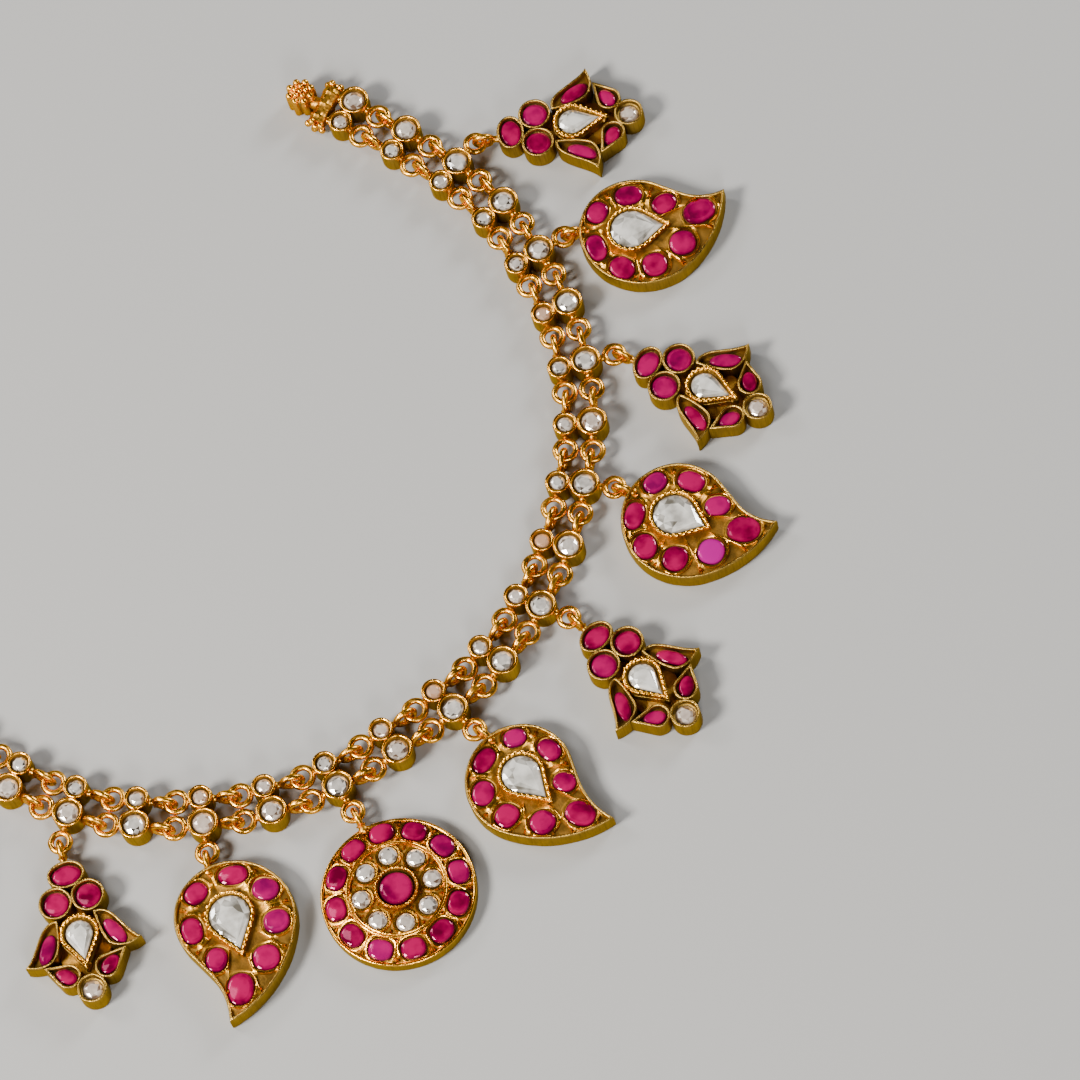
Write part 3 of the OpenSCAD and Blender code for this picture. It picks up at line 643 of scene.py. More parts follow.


# Facetted stone: the hull of a few rings (outline, height), whose facets each get a tone of painted light
def cutStone(bm, levels, matrix, seed, spreadTone, tint, tableLight):
    rng = random.Random(seed)
    knownFaces = set(bm.faces)
    edgeLayer, tintLayer = bm.verts.layers.float["edge"], bm.verts.layers.float["tint"]
    facetLayer = bm.faces.layers.float["facetLight"]
    verts = []
    for outline, height, edge in levels:
        ring = bmesh.ops.create_circle(bm, segments=len(outline), radius=1)["verts"]
        for vert, point in zip(ring, outline):
            vert.co = (point[0], point[1], height)
            vert[edgeLayer] = edge
            vert[tintLayer] = tint
        verts += ring
    for edge in {e for v in verts for e in v.link_edges}:
        bm.edges.remove(edge)
    hull = bmesh.ops.convex_hull(bm, input=verts)
    bmesh.ops.delete(bm, geom=[v for v in hull["geom_interior"] if isinstance(v, bmesh.types.BMVert)],
                     context="VERTS")
    faces = since(bm.faces, knownFaces)
    bmesh.ops.dissolve_limit(bm, angle_limit=radians(facetLightTone["sameFacet"]),
                             verts=list({v for f in faces for v in f.verts}),
                             edges=list({e for f in faces for e in f.edges}))
    faces = since(bm.faces, knownFaces)
    bmesh.ops.recalc_face_normals(bm, faces=faces)
    for face in faces:
        face[facetLayer] = facetLightShare(rng, face.normal, spreadTone)
        if face.normal.z > facetLightTone["tableLevel"]:
            jitter = rng.uniform(-facetLightTone["tableSpread"], facetLightTone["tableSpread"])
            face[facetLayer] = min(1, max(0, tableLight + jitter))
    made = list({v for f in faces for v in f.verts})
    bmesh.ops.transform(bm, matrix=matrix, verts=made)
    if matrix.determinant() < 0:
        bmesh.ops.reverse_faces(bm, faces=faces)


def scaled(outline, share):
    return [point * share for point in outline]


# Small round diamond: table, star facets, crown facets, girdle and a short pavilion
def brilliant(bm, diameter, matrix, seed, tint):
    d = diameter
    cutStone(bm, [
        (ovalOutline(d * 0.86, d * 0.86, 8), -1.15, 1.0),
        (ovalOutline(d, d, 16), -0.05, 1.0), (ovalOutline(d, d, 16), 0.04, 1.0),
        (ovalOutline(d * 0.80, d * 0.80, 8, 0.5), 0.36, 0.6),
        (ovalOutline(d * 0.54, d * 0.54, 8), 0.58, 0.2),
    ], matrix, seed, 0.65, tint, 0.6)


# Foiled ruby: a soft crown under a broad table
def rubyStone(bm, outline, matrix, seed, tint=0.0, rise=0.62):
    # Each ruby's table is painted a lightness of its own, for the reflection it shows; the edge mark,
    # painted shade, is strongest at the girdle
    share = random.Random(seed + 5).choice((0.35, 0.55, 0.65, 0.75, 0.85, 0.95))
    cutStone(bm, [
        (scaled(outline, 0.88), -1.18, 1.0), (outline, -0.02, 1.0), (scaled(outline, 0.985), 0.13, 0.95),
        (scaled(outline, 0.91), rise * 0.66, 0.75), (scaled(outline, 0.78), rise * 0.92, 0.45),
        (scaled(outline, 0.68), rise, 0.2),
    ], matrix, seed, 0.12, tint, share)


# Flat-cut pear diamond: rose facets round a broad table
def polkiStone(bm, radius, length, matrix, seed):
    outline = teardropOutline(radius, length, 0, 14)
    middle = Vector((0, -(length - 2 * radius) * 0.30))
    inner = [middle + (p - middle) * 0.88 for p in outline[::2]]
    upper = [middle + (p - middle) * 0.72 for p in outline[1::2]]
    table = [middle + (p - middle) * 0.50 + Vector((0.2, 0.2)) for p in outline[::2]]
    cutStone(bm, [
        (scaled(outline, 0.88), -1.18, 1.0), (outline, -0.02, 1.0), (outline, 0.05, 1.0),
        (inner, 0.26, 0.8), (upper, 0.47, 0.3), (table, 0.60, 0.0),
    ], matrix, seed, 0.42, 0.0, 0.85)


# Chain links

def drawCollet(bm, diameter, stone):
    r, wall, top, ledge = diameter / 2, chain["wall"], chain["height"], chain["ledge"]
    inner = r - wall
    # The rim top is polished; shade is painted down the inner wall and onto the ledge
    spun(bm, [
        (0, 0, 0.3), (r - 0.28, 0, 0.3), (r - 0.08, 0.12, 0.5), (r - 0.02, 0.4, 0.6), (r, 1.2, 0.6),
        (r, top - 0.55, 0.7), (r - 0.01, top - 0.3, 0.85), (r - 0.08, top - 0.09, 1), (r - 0.22, top, 1),
        (inner + 0.12, top - 0.03, 1), (inner + 0.02, top - 0.16, 0.7), (inner - 0.06, top - 0.45, 0.2),
        (inner - 0.12, ledge + 0.1, 0.0), (stone / 2 + 0.06, ledge - 0.02, 0.0),
        (stone / 2 + 0.04, ledge - 0.5, 0.0), (0, ledge - 0.6, 0.0),
    ], 44, None, [(0.3, top - 0.4)])


def drawPair(bm):
    largeMesh = template(drawCollet, chain["largeD"], chain["largeStone"])
    smallMesh = template(drawCollet, chain["smallD"], chain["smallStone"])
    addCopy(bm, largeMesh, largePlace)
    addCopy(bm, smallMesh, smallPlace)
    joint = turned(layout["pairLean"]) @ shifted(0, largeY + chain["largeD"] / 2, 0)
    spun(bm, [(0, 0.15, 0.3), (0.75, 0.2, 0.3), (0.95, 0.9, 0.4), (0.8, 2.4, 0.4), (0.95, 3.6, 0.4),
              (0.6, 4.15, 0.4), (0, 4.2, 0.4)], 12, joint)


ringNeck = (0.68, 0.34)  # radius and flare of the solder at a ring


def drawStanding(bm, wobble):
    level = chain["level"]
    for reach, y, edge in ringRows:
        place = shifted(reach, y, level) @ rolled(pi / 2, "X")
        wireRing(bm, chain["ringR"], chain["wire"], place, wobble=wobble + y)
        solderStem(bm, (edge - 0.45, y, level), (reach - chain["ringR"] + 0.1, y, level), *ringNeck)


def drawLying(bm, wobble):
    level = chain["level"]
    for reach, y, edge in ringRows:
        wireRing(bm, chain["ringR"], chain["wire"], shifted(-reach, y, level), wobble=wobble + y)
        solderStem(bm, (0.45 - edge, y, level), (chain["ringR"] - reach - 0.1, y, level), *ringNeck)


def drawDropRing(bm):
    place = largePlace @ shifted(0, -chain["dropReach"], chain["level"])
    wireRing(bm, chain["dropRingR"], chain["wire"], place, wobble=3.3)
    solderStem(bm, (0, -chain["largeD"] / 2 + 0.45, chain["level"]),
               (0, chain["dropRingR"] - chain["dropReach"] - 0.1, chain["level"]), *ringNeck, largePlace)


ends = {
    "barD": 4.0, "lean": 9, "barL": 8.4, "granule": 1.5, "cupD": 4.8, "neckL": 0.9, "neckD": 3.0,
    "cupH": 5.0, "eyeHole": 2.4, "eyeH": 2.4, "leafStep": 2.8, "barRows": 34,
}
ends["barX"] = chain["largeD"] / 2 + ends["barD"] / 2 + 0.2
ends["barZ"] = ends["barD"] / 2 + ends["granule"] / 4
ends["cupX"] = ends["barX"] + ends["barD"] / 2 + ends["neckL"] + ends["cupD"] / 2


# Bar across the chain, with chased leaves along it on the clasp end
def drawBar(bm, chased):
    r, length = ends["barD"] / 2, ends["barL"]
    rows, leafStep = ends["barRows"], ends["leafStep"]
    profile = [(0, -length / 2, 0.4)]
    for k in range(rows + 1):
        z = -length / 2 + length * k / rows
        swell = 0.10 * cos(2 * pi * z / leafStep) if chased else 0
        profile.append((r - 0.13 + swell, z, 0.7))
    profile.append((0, length / 2, 0.4))
    lean = turned(ends["lean"])
    place = lean @ shifted(ends["barX"], 0, ends["barZ"]) @ rolled(pi / 2, "X")
    layer = bm.verts.layers.float["polishAndShade"]
    for vert in spun(bm, profile, 40):
        if chased and hypot(vert.co.x, vert.co.y) > 1:
            angle = atan2(vert.co.y, vert.co.x)
            along = 2 * pi * vert.co.z / leafStep
            leaf = cos(5 * angle + along) * cos(5 * angle - along)
            grow = 1 + 0.06 * leaf
            vert.co.x, vert.co.y = vert.co.x * grow, vert.co.y * grow
            # Raised parts of each leaf are painted lighter and its hollows darker, as light and shade
            vert[layer] = 0.5 + 0.5 * leaf
        vert.co = place @ vert.co
    for reach, y, edge in ringRows:
        start, end = (edge - 0.7, y, ends["barZ"]), (ends["barX"] - 1.2, y, ends["barZ"])
        solderStem(bm, start, end, 0.7, 0.3, lean)


def ringOfBeads(bm, count, diameter, radius, height, matrix, start=0.0):
    for k in range(count):
        angle = 2 * pi * (k + start) / count
        bead(bm, matrix @ Vector((radius * cos(angle), radius * sin(angle), height)), diameter)


def drawClaspEnd(bm):
    drawBar(bm, True)
    g = ends["granule"]
    lean = turned(ends["lean"])
    for side in (-1, 1):
        tip = shifted(ends["barX"], side * ends["barL"] / 2, ends["barZ"])
        flower = lean @ tip @ rolled(-side * pi / 2, "X")
        ringOfBeads(bm, 5, g, ends["barD"] / 2 - g / 4, g / 4, flower)
        bead(bm, flower @ Vector((0, 0, g / 3)), g)
    neck = lean @ shifted(ends["barX"], 0, ends["barZ"]) @ rolled(pi / 2, "Y")
    reach = ends["cupX"] - ends["barX"]
    spun(bm, [(0, 1, 0.5), (ends["neckD"] / 2, 1, 0.5), (ends["neckD"] / 2 - 0.2, 2.3, 0.3),
              (ends["neckD"] / 2, reach, 0.4), (0, reach, 0.4)], 24, neck)
    cup = lean @ shifted(ends["cupX"], 0, 0)
    r, h = ends["cupD"] / 2, ends["cupH"]
    spun(bm, [(0, 0, 0.3), (r - 0.25, 0, 0.3), (r, 0.2, 0.5), (r, h - 0.3, 0.6), (r - 0.3, h, 0.6),
              (0, h + 0.05, 0.5)], 40, cup, [(0.3, h - 0.4)])
    for k in range(8):
        petal = cup @ turned(45 * k) @ shifted(r - 0.1, 0, 0)
        spun(bm, [(0, 0, 0.4), (0.5, 0, 0.4), (g / 2, 0.35, 0.6), (g / 2, h - 1.0, 0.7),
                  (0.45, h - 0.4, 0.6), (0, h - 0.2, 0.5)], 14, petal)
    ringOfBeads(bm, 8, g, r - 0.1, h, cup)
    small = 0.6 * g + 0.25
    ringOfBeads(bm, 5, small, r - 0.1 - 0.78 * g, h + g / 8 + 0.1, cup)
    bead(bm, cup @ Vector((0, 0, h + g / 6 + 0.15)), small)


def drawEyeBar(bm):
    drawBar(bm, False)
    r, hole, h = ends["eyeHole"] / 2 + 1.4, ends["eyeHole"] / 2, ends["eyeH"] / 2
    eyeX = ends["barX"] + ends["barD"] / 2 + r - 0.2
    place = turned(ends["lean"]) @ shifted(eyeX, 0, ends["barZ"])
    spun(bm, [(hole, -h + 0.2, 0.6), (hole + 0.2, -h, 0.8), (r - 0.3, -h, 0.8), (r, -h + 0.3, 0.8),
              (r, h - 0.3, 0.8), (r - 0.3, h, 0.9), (hole + 0.2, h, 0.9), (hole, h - 0.2, 0.7),
              (hole, -h + 0.2, 0.6)], 40, place)


pairMesh = template(drawPair)
mirrored = Matrix.Diagonal((-1, 1, 1, 1))


def linkName(i):
    return "eyeEndLink" if i == -half else "claspEndLink" if i == half else f"chainLink{i + half:02d}"


def linkNode(i):
    return "eye_end_link" if i == -half else "clasp_end_link" if i == half else f"chain_link_{i + half:02d}"


for i in range(-half, half + 1):
    bm = newDrawing()
    addCopy(bm, pairMesh, Matrix.Identity(4))
    if i < half:
        drawStanding(bm, i * 1.7)
    if i > -half:
        drawLying(bm, i * 2.3 + 0.7)
    if i % 2 == 0 and abs(i) < half:
        drawDropRing(bm)
    if i == half:
        drawClaspEnd(bm)
    if i == -half:
        addCopy(bm, template(drawEyeBar), mirrored)
    bmesh.ops.transform(bm, matrix=linkPlace(i), verts=bm.verts)
    handMade(bm, 0.035)
    finishPiece(linkName(i), bm, [goldMaterial, shadedWallMaterial], [linkNode(i)])
print("chain made:", 2 * half + 1, "links")

bm = newDrawing()
# Diamonds of the chain that look browner than the rest: (link, side): tint
brownOnes = {(-2, 1): 0.5, (9, 1): 0.7, (5, 1): 0.9, (2, 1): 0.75, (-2, -1): 0.35, (-1, 1): 0.2,
            (1, 1): 0.3, (7, -1): 0.25, (14, -1): 0.2}
for i in range(-half, half + 1):
    for side, place, size in ((-1, largePlace, chain["largeStone"]), (1, smallPlace, chain["smallStone"])):
        tilt = tilted(0.05)
        spot = linkPlace(i) @ place @ shifted(0, 0, chain["ledge"]) @ turned(random.uniform(0, 45)) @ tilt
        tint = brownOnes.get((i, side), random.choice((0, 0, 0.08, 0.15)))
        brilliant(bm, size, spot, 100 + 2 * i + side, tint)
finishPiece("chainDiamonds", bm, [diamondMaterial], ["chain_diamonds"], 0)
print("chain diamonds set")


# Parts that all drops share

# Ring that a drop hangs in, with a neck of solder that ends at a depth
def drawBail(bm, depth):
    place = shifted(0, -chain["bailStep"], chain["level"]) @ rolled(pi / 2, "Z") @ rolled(pi / 2, "X")
    wireRing(bm, chain["bailR"], chain["wire"], place, wobble=5.1)
    solderStem(bm, (0, -chain["bailStep"] - chain["bailR"] + 0.1, chain["level"]),
               (0, -depth, chain["level"] - 0.2), 0.66, 0.4)


def rayToPolygon(origin, direction, polygon):
    best = 1e9
    for a, b in zip(polygon, polygon[1:] + polygon[:1]):
        side = b - a
        cross = direction.x * side.y - direction.y * side.x
        if abs(cross) < 1e-9:
            continue
        away = a - origin
        t = (away.x * side.y - away.y * side.x) / cross
        s = (away.x * direction.y - away.y * direction.x) / cross
        if t > 0 and -1e-6 <= s <= 1 + 1e-6:
            best = min(best, t)
    return best


def smoothStep(value, low, high):
    t = min(1, max(0, (value - low) / (high - low)))
    return t * t * (3 - 2 * t)


# Widths from the stone's edge outwards, and where the field beyond the crest sinks and is painted with
# shade
pocketShape = {
    "gap": 0.10, "inner": 0.15, "crestIn": 0.24, "crestOut": 0.58, "foot": 0.76, "leastField": 0.16,
    "betweenSinks": (1.25, 1.6), "rimSinks": (0.72, 0.98), "hubSide": (0.55, 0.95),
    "hubLower": 0.86, "hubShade": 0.75,
}


# Chased gold round one stone: a well painted with shade, a polished crest, and the field beyond it up to
# its limits, painted with shade where it sinks and near the hub
def drawPocket(bm, outline, middle, limits, ground, rise, hub=None, corners=()):
    layer = bm.verts.layers.float["polishAndShade"]
    shape = pocketShape
    toHub = (hub - middle).normalized() if hub else None
    rays = []
    for point in outline:
        direction = (point - middle).normalized()
        reach = (point - middle).length
        reaches = [rayToPolygon(middle, direction, polygon) for polygon in limits]
        free = max(shape["leastField"], min(reaches) - reach)
        between = reaches.index(min(reaches)) == 1
        sunk = smoothStep(free, *(shape["betweenSinks"] if between else shape["rimSinks"]))
        closeness = smoothStep(direction.dot(toHub), *shape["hubSide"]) if toHub else 0
        rays.append((direction, reach, free, closeness, sunk))

    def ringAt(number):
        ring = []
        for direction, reach, free, closeness, sunk in rays:
            offset, level, polishAndShade = (
                (-0.35, -0.75, 0.0),
                (min(shape["gap"], 0.30 * free), -0.40, 0.0),
                (min(shape["inner"], 0.40 * free), rise - 0.26, 0.35),
                (min(shape["crestIn"], 0.55 * free), rise - 0.04, 1.0),
                (min(shape["crestOut"], 0.82 * free), rise, 1.0),
                (min(shape["foot"], 0.95 * free), rise - 0.04 - 0.48 * sunk, 0.95 - 0.95 * sunk),
                (free + 0.02, rise - 0.14 - 0.44 * sunk, 0.75 - 0.72 * sunk),
                (free + 0.03, -0.5, 0.1))[number]
            place = middle + direction * (reach + offset)
            height = ground(place) + level * (1 - shape["hubLower"] * closeness)
            ring.append((place, height, polishAndShade * (1 - shape["hubShade"] * closeness)))
        return ring

    rows = [ringAt(number) for number in range(8)]
    for corner in corners:
        nearest = max(range(len(rays)), key=lambda k: rays[k][0].dot((corner - middle).normalized()))
        for row in (6, 7):
            rows[row][nearest] = (corner, rows[row][nearest][1], rows[row][nearest][2])
    ring = firstRing(bm, [place for place, z, polishAndShade in rows[0]], 0, 0)
    for row in range(8):
        if row:
            ring = nextRing(bm, ring)
        for vert, (place, z, polishAndShade) in zip(ring, rows[row]):
            vert.co = (place.x, place.y, z)
            vert[layer] = polishAndShade


# Crimped collar: a wall whose crest is pushed in and out all round
def drawCollar(bm, outline, base, top, thickness, crimps, inside):
    count = len(outline)
    layer = bm.verts.layers.float["polishAndShade"]
    steps = [(0, base - 0.3, 0.2), (0.06, base + 0.15, 0.3), (0.08, top - 0.42, 0.6),
             (0.10, top - 0.16, 0.95), (0.24, top, 1.0), (thickness - 0.38, top - 0.02, 1.0),
             (thickness - 0.20, top - 0.18, 0.8), (thickness - 0.08, top - 0.45, 0.15),
             (thickness + 0.06, inside + 0.02, 0.0), (thickness + 0.4, inside - 0.3, 0.0)]
    strength = (0, 0, 0.5, 1.0, 1.0, 1.0, 0.9, 0.3, 0, 0)  # of the crimps on each step

    def crimp(ring, number):
        for k, vert in enumerate(ring):
            phase = 2 * pi * crimps * k / count + 2.4 * noise.noise(vert.co * 0.35)
            inward = Vector((-vert.co.x, -vert.co.y, 0)).normalized()
            wave = sin(phase) + 0.4 * sin(2 * phase + 1) + 0.6 * noise.noise(vert.co * 1.1)
            vert.co += inward * (0.12 * strength[number] * wave)
            vert.co.z += 0.13 * strength[number] * (cos(phase) + noise.noise(vert.co * 0.9))
            # Each crimp is painted lighter where it rises and darker where it dips, as light and shade
            vert[layer] = min(1, max(0, vert[layer] * (0.9 + 0.2 * cos(phase))))

    stepped(bm, outline, steps, False, 0, crimp)


# One stroke of the graver: a small ridge that is high in its middle
def chiselStroke(bm, start, end, width, base, rise):
    layer = bm.verts.layers.float["polishAndShade"]
    start, end = Vector(start), Vector(end)
    middle, along = (start + end) / 2, end - start
    verts = bmesh.ops.create_cone(bm, cap_ends=True, segments=4, radius1=1, radius2=0.35, depth=1)["verts"]
    heading = rolled(atan2(along.y, along.x), "Z")
    size = Matrix.Diagonal((along.length / 2, width / 2, rise, 1))
    place = shifted(middle.x, middle.y, base + rise / 2) @ heading @ size
    for vert in verts:
        # The stroke's top is painted lighter than its foot, as shade at the foot
        vert[layer] = 1.0 if vert.co.z > 0 else 0.6
    bmesh.ops.transform(bm, matrix=place, verts=verts)


# An arc as the spin of one point, without its last point
def arcPoints(centre, radius, start, end, count):
    return [centre + radius * ray(start + (end - start) * k / count) for k in range(count)]


# Medallion

medallion = {
    "d": 29.7, "rim": 0.65, "rimH": 2.9, "crownH": 4.5, "centreD": 6.5,
    "rubyR": 12.0, "rubies": 12, "rubyLong": 4.9, "rubyWide": 4.1, "rubyTurn": 17.5,
    "diamondR": 6.95, "diamonds": 8, "diamondD": 3.6, "diamondTurn": 32.0,
}
medallionR = medallion["d"] / 2
bailFoot = chain["bailStep"] + chain["bailR"] + chain["wire"] / 2
medallionPlace = dropPlace(dropsOf("medallion")[0]) @ shifted(0, -bailFoot - medallionR, 0)
rubiesFrom = medallion["rubyR"] - medallion["rubyWide"] / 2
bandR = (rubiesFrom + medallion["diamondR"] + medallion["diamondD"] / 2) / 2
outerFloor, bandH = medallion["rimH"] - 0.3, medallion["crownH"] - 0.1
rubyGirdle = (outerFloor + bandH) / 2 - 0.2
crownFloor = medallion["crownH"] - 0.62


def coneGround(place):
    share = (medallionR - medallion["rim"] - place.length) / (medallionR - medallion["rim"] - bandR)
    return outerFloor - 0.35 + share * (bandH - outerFloor - 0.1)


def crownGround(place):
    return crownFloor


# Outline of the field between two radii and two directions
def sector(inner, outer, middle, spread, count=24):
    outside = [outer * ray(middle - spread + 2 * spread * k / count) for k in range(count + 1)]
    inside = [inner * ray(middle + spread - 2 * spread * k / count) for k in range(count + 1)]
    return outside + inside


def drawMedallion(bm):
    r, rim, h = medallionR, medallion["rim"], medallion["rimH"]
    # Polished rim; shade is painted on the sunken floors of the rings
    spun(bm, [
        (0, 0, 0.3), (r - 0.35, 0, 0.3), (r - 0.08, 0.12, 0.4), (r, 0.5, 0.5), (r, h - 0.45, 0.6),
        (r - 0.03, h - 0.2, 0.85), (r - 0.14, h - 0.02, 1), (r - 0.32, h + 0.02, 1),
        (r - rim + 0.1, h - 0.04, 0.9), (r - rim, h - 0.2, 0.5), (r - rim - 0.05, outerFloor - 0.35, 0.1),
        (bandR + 0.5, bandH - 0.75, 0.1), (4.0, crownFloor, 0.1), (0, crownFloor, 0.0),
    ], 120, None, [(0.3, h - 0.3)])
    step = 360 / medallion["rubies"]
    for k in range(medallion["rubies"]):
        angle = medallion["rubyTurn"] + k * step
        middle = medallion["rubyR"] * ray(angle)
        outline = moved(rubyOval(medallion["rubyWide"], medallion["rubyLong"], 44), middle, angle)
        inner, outer = bandR + 0.42, r - rim
        field = sector(inner, outer, angle, step / 2)
        corners = [reach * ray(angle + turn) for reach in (outer, inner) for turn in (-step / 2, step / 2)]
        drawPocket(bm, outline, middle, [field], coneGround, 0.62, None, corners)
        between = angle + step / 2
        for reach, long, turn in ((outer - 0.80, 1.5, 0), (inner + 0.50, 0.9, 180)):
            fan(bm, reach * ray(between), between + turn, long, coneGround(reach * ray(0)) + 0.04)
    step = 360 / medallion["diamonds"]
    for k in range(medallion["diamonds"]):
        angle = medallion["diamondTurn"] + k * step
        middle = medallion["diamondR"] * ray(angle)
        outline = [middle + q for q in ovalOutline(medallion["diamondD"], medallion["diamondD"], 44)]
        inner, outer = medallion["centreD"] / 2 + 0.85, bandR - 0.38
        field = sector(inner, outer, angle, step / 2)
        corners = [reach * ray(angle + turn) for reach in (outer, inner) for turn in (-step / 2, step / 2)]
        drawPocket(bm, outline, middle, [field], crownGround, 0.58, None, corners)
        between, base = angle + step / 2, medallion["crownH"] - 0.60
        fan(bm, (outer - 0.75) * ray(between), between, 1.2, base)
        fan(bm, (inner + 0.55) * ray(between), between + 180, 0.7, base)
    spun(bm, [(bandR + 0.52, bandH - 0.9, 0.2), (bandR + 0.46, bandH - 0.15, 0.8),
              (bandR + 0.30, bandH + 0.08, 1.0), (bandR + 0.12, bandH + 0.1, 0.9),
              (bandR + 0.02, bandH - 0.02, 0.3), (bandR - 0.08, bandH + 0.16, 0.9),
              (bandR - 0.24, bandH + 0.24, 1.0), (bandR - 0.38, bandH + 0.1, 0.8),
              (bandR - 0.46, bandH - 0.6, 0.2)], 120)
    collarD = 2 * (medallion["centreD"] / 2 + 0.25 + 0.72)
    drawCollar(bm, ovalOutline(collarD, collarD, 144), medallion["crownH"] - 0.5,
               medallion["crownH"] + 1.0, 0.68, 36, medallion["crownH"] - 0.1)


# Rounded rectangle between an oval and a cushion
def rubyOval(wide, long, count, square=2.5):
    points = []
    for k in range(count):
        angle = 2 * pi * k / count
        c, s = cos(angle), sin(angle)
        reach = (abs(c) ** square + abs(s) ** square) ** (-1 / square)
        points.append(Vector((wide / 2 * c * reach, long / 2 * s * reach)))
    return points


stroke = {"turns": ((-28, 0.9), (0, 1.0), (28, 0.9)), "back": 0.30, "ahead": 0.55, "width": 0.44,
          "rise": 0.52}


# Three strokes that fan out in the corner between two stones
def fan(bm, place, heading, long, base):
    for turn, share in stroke["turns"]:
        direction = ray(heading + turn)
        start = place - direction * long * stroke["back"]
        end = place + direction * long * stroke["ahead"] * share
        chiselStroke(bm, start, end, stroke["width"], base, stroke["rise"])


bm = newDrawing()
drawMedallion(bm)
bmesh.ops.transform(bm, matrix=shifted(0, -bailFoot - medallionR, 0), verts=bm.verts)
drawBail(bm, bailFoot + 0.7)
bead(bm, (0, -bailFoot - 0.35, chain["level"] + 0.2), 1.9, 0.6, 0.7)
bmesh.ops.transform(bm, matrix=dropPlace(dropsOf("medallion")[0]), verts=bm.verts)
handMade(bm, 0.05)
finishPiece("medallionSetting", bm, [goldMaterial, shadedWallMaterial], ["medallion_setting"])

bm = newDrawing()
centreHeight = medallion["crownH"] + 0.2
rubyStone(bm, ovalOutline(medallion["centreD"], medallion["centreD"], 28),
          medallionPlace @ shifted(0, 0, centreHeight), 3, 0.05)
finishPiece("medallionCentreRuby", bm, [rubyMaterial], ["medallion_centre_ruby"], 25)

bm = newDrawing()
for k in range(medallion["rubies"]):
    angle = medallion["rubyTurn"] + k * 360 / medallion["rubies"]
    outward = rolled(radians(7), "Y")
    place = medallionPlace @ turned(angle) @ shifted(medallion["rubyR"], 0, rubyGirdle) @ outward
    outline = rubyOval(medallion["rubyWide"], medallion["rubyLong"], 24)
    rubyStone(bm, outline, place, 40 + k, random.choice((0, 0, 0.1, 0.25)))
finishPiece("medallionRubies", bm, [rubyMaterial], ["medallion_rubies"], 25)
print("medallion made")


# Mango drops

# Forms: radii of head, belly and tail, where belly and head end, neck, radius of the curl, and the
# radius and length of the flat diamond. Rubies: place across and along, width, length and turn
mango = {
    "h": 4.2, "floor": 3.4, "rim": 0.7, "lean": 2.8, "drop": 3.3, "collarWall": 0.9, "collarRise": 1.3,
    "gap": 0.08, "square": 2.25,
    "broad": (10.6, 13.0, 22, 211, -38, 5.5, 10, 4.0, 10.4),
    "slim": (10.2, 11.7, 23, 196, -34, 5.0, 15, 3.65, 10.5),
    "long": (10.8, 12.4, 24, 196, -34, 5.3, 16, 3.9, 11.0),
    "polkiAt": (0.538, 0.345), "polkiTurn": -8,
    "rubies": (
        (0.461, 0.094, 0.258, 0.172, 4), (0.780, 0.158, 0.212, 0.178, -38),
        (0.862, 0.385, 0.184, 0.240, -6), (0.702, 0.597, 0.184, 0.218, 18),
        (0.551, 0.808, 0.232, 0.284, 14), (0.301, 0.649, 0.232, 0.228, 0),
        (0.172, 0.438, 0.228, 0.214, 0), (0.217, 0.224, 0.238, 0.200, 25),
    ),
}


def mangoForm(drop):
    return mango["slim"] if drop[0] == 2 else mango["long"] if drop[0] == -2 else mango["broad"]


def angleTo(a, b):
    return degrees(atan2(b.y - a.y, b.x - a.x)) % 360


def lowerCross(a, ra, b, rb):
    d = (b - a).length
    x = (ra * ra - rb * rb + d * d) / (2 * d)
    h = sqrt(ra * ra - x * x)
    u = (b - a) / d
    side = Vector((-u.y, u.x))
    p, q = a + x * u + h * side, a + x * u - h * side
    return p if p.y < q.y else q


def mangoHead(headR):
    return Vector((-mango["lean"], -mango["drop"] - sqrt(headR * headR - mango["lean"] ** 2)))


# Head, belly and tail are arcs that flow into each other, and a curl brings them back to the head
def mangoOutline(form, depth, count):
    headR, bellyR, tailR, bellyEnd, headEnd, neck, curlR = form[:7]
    head = mangoHead(headR)
    belly = head + Vector((0, headR - bellyR))
    tail = belly + (bellyR - tailR) * ray(bellyEnd)
    curl = head + (headR + curlR) * ray(headEnd) + neck * ray(headEnd - 90)
    tip = lowerCross(tail, tailR - depth, curl, curlR + depth)
    return (arcPoints(head, headR - depth, headEnd, 90, count)
            + arcPoints(belly, bellyR - depth, 90, bellyEnd, count)
            + arcPoints(tail, tailR - depth, bellyEnd, angleTo(tail, tip), count // 2)
            + arcPoints(curl, curlR + depth, angleTo(curl, tip), headEnd + 180, count // 2)
            + [curl + (curlR + depth) * ray(headEnd + 180)])


# Sizes of one mango form and the places on it
class MangoPlan:
    def __init__(self, form):
        self.form = form
        headR, bellyR = form[0], form[1]
        self.head = mangoHead(headR)
        self.width = headR + bellyR
        self.length = self.head.y + headR - min(p.y for p in mangoOutline(form, 0, 8))
        self.hub = self.at(*mango["polkiAt"])

    def at(self, across, along):
        return Vector((self.head.x - self.form[1] + across * self.width,
                       self.head.y + self.form[0] - along * self.length))


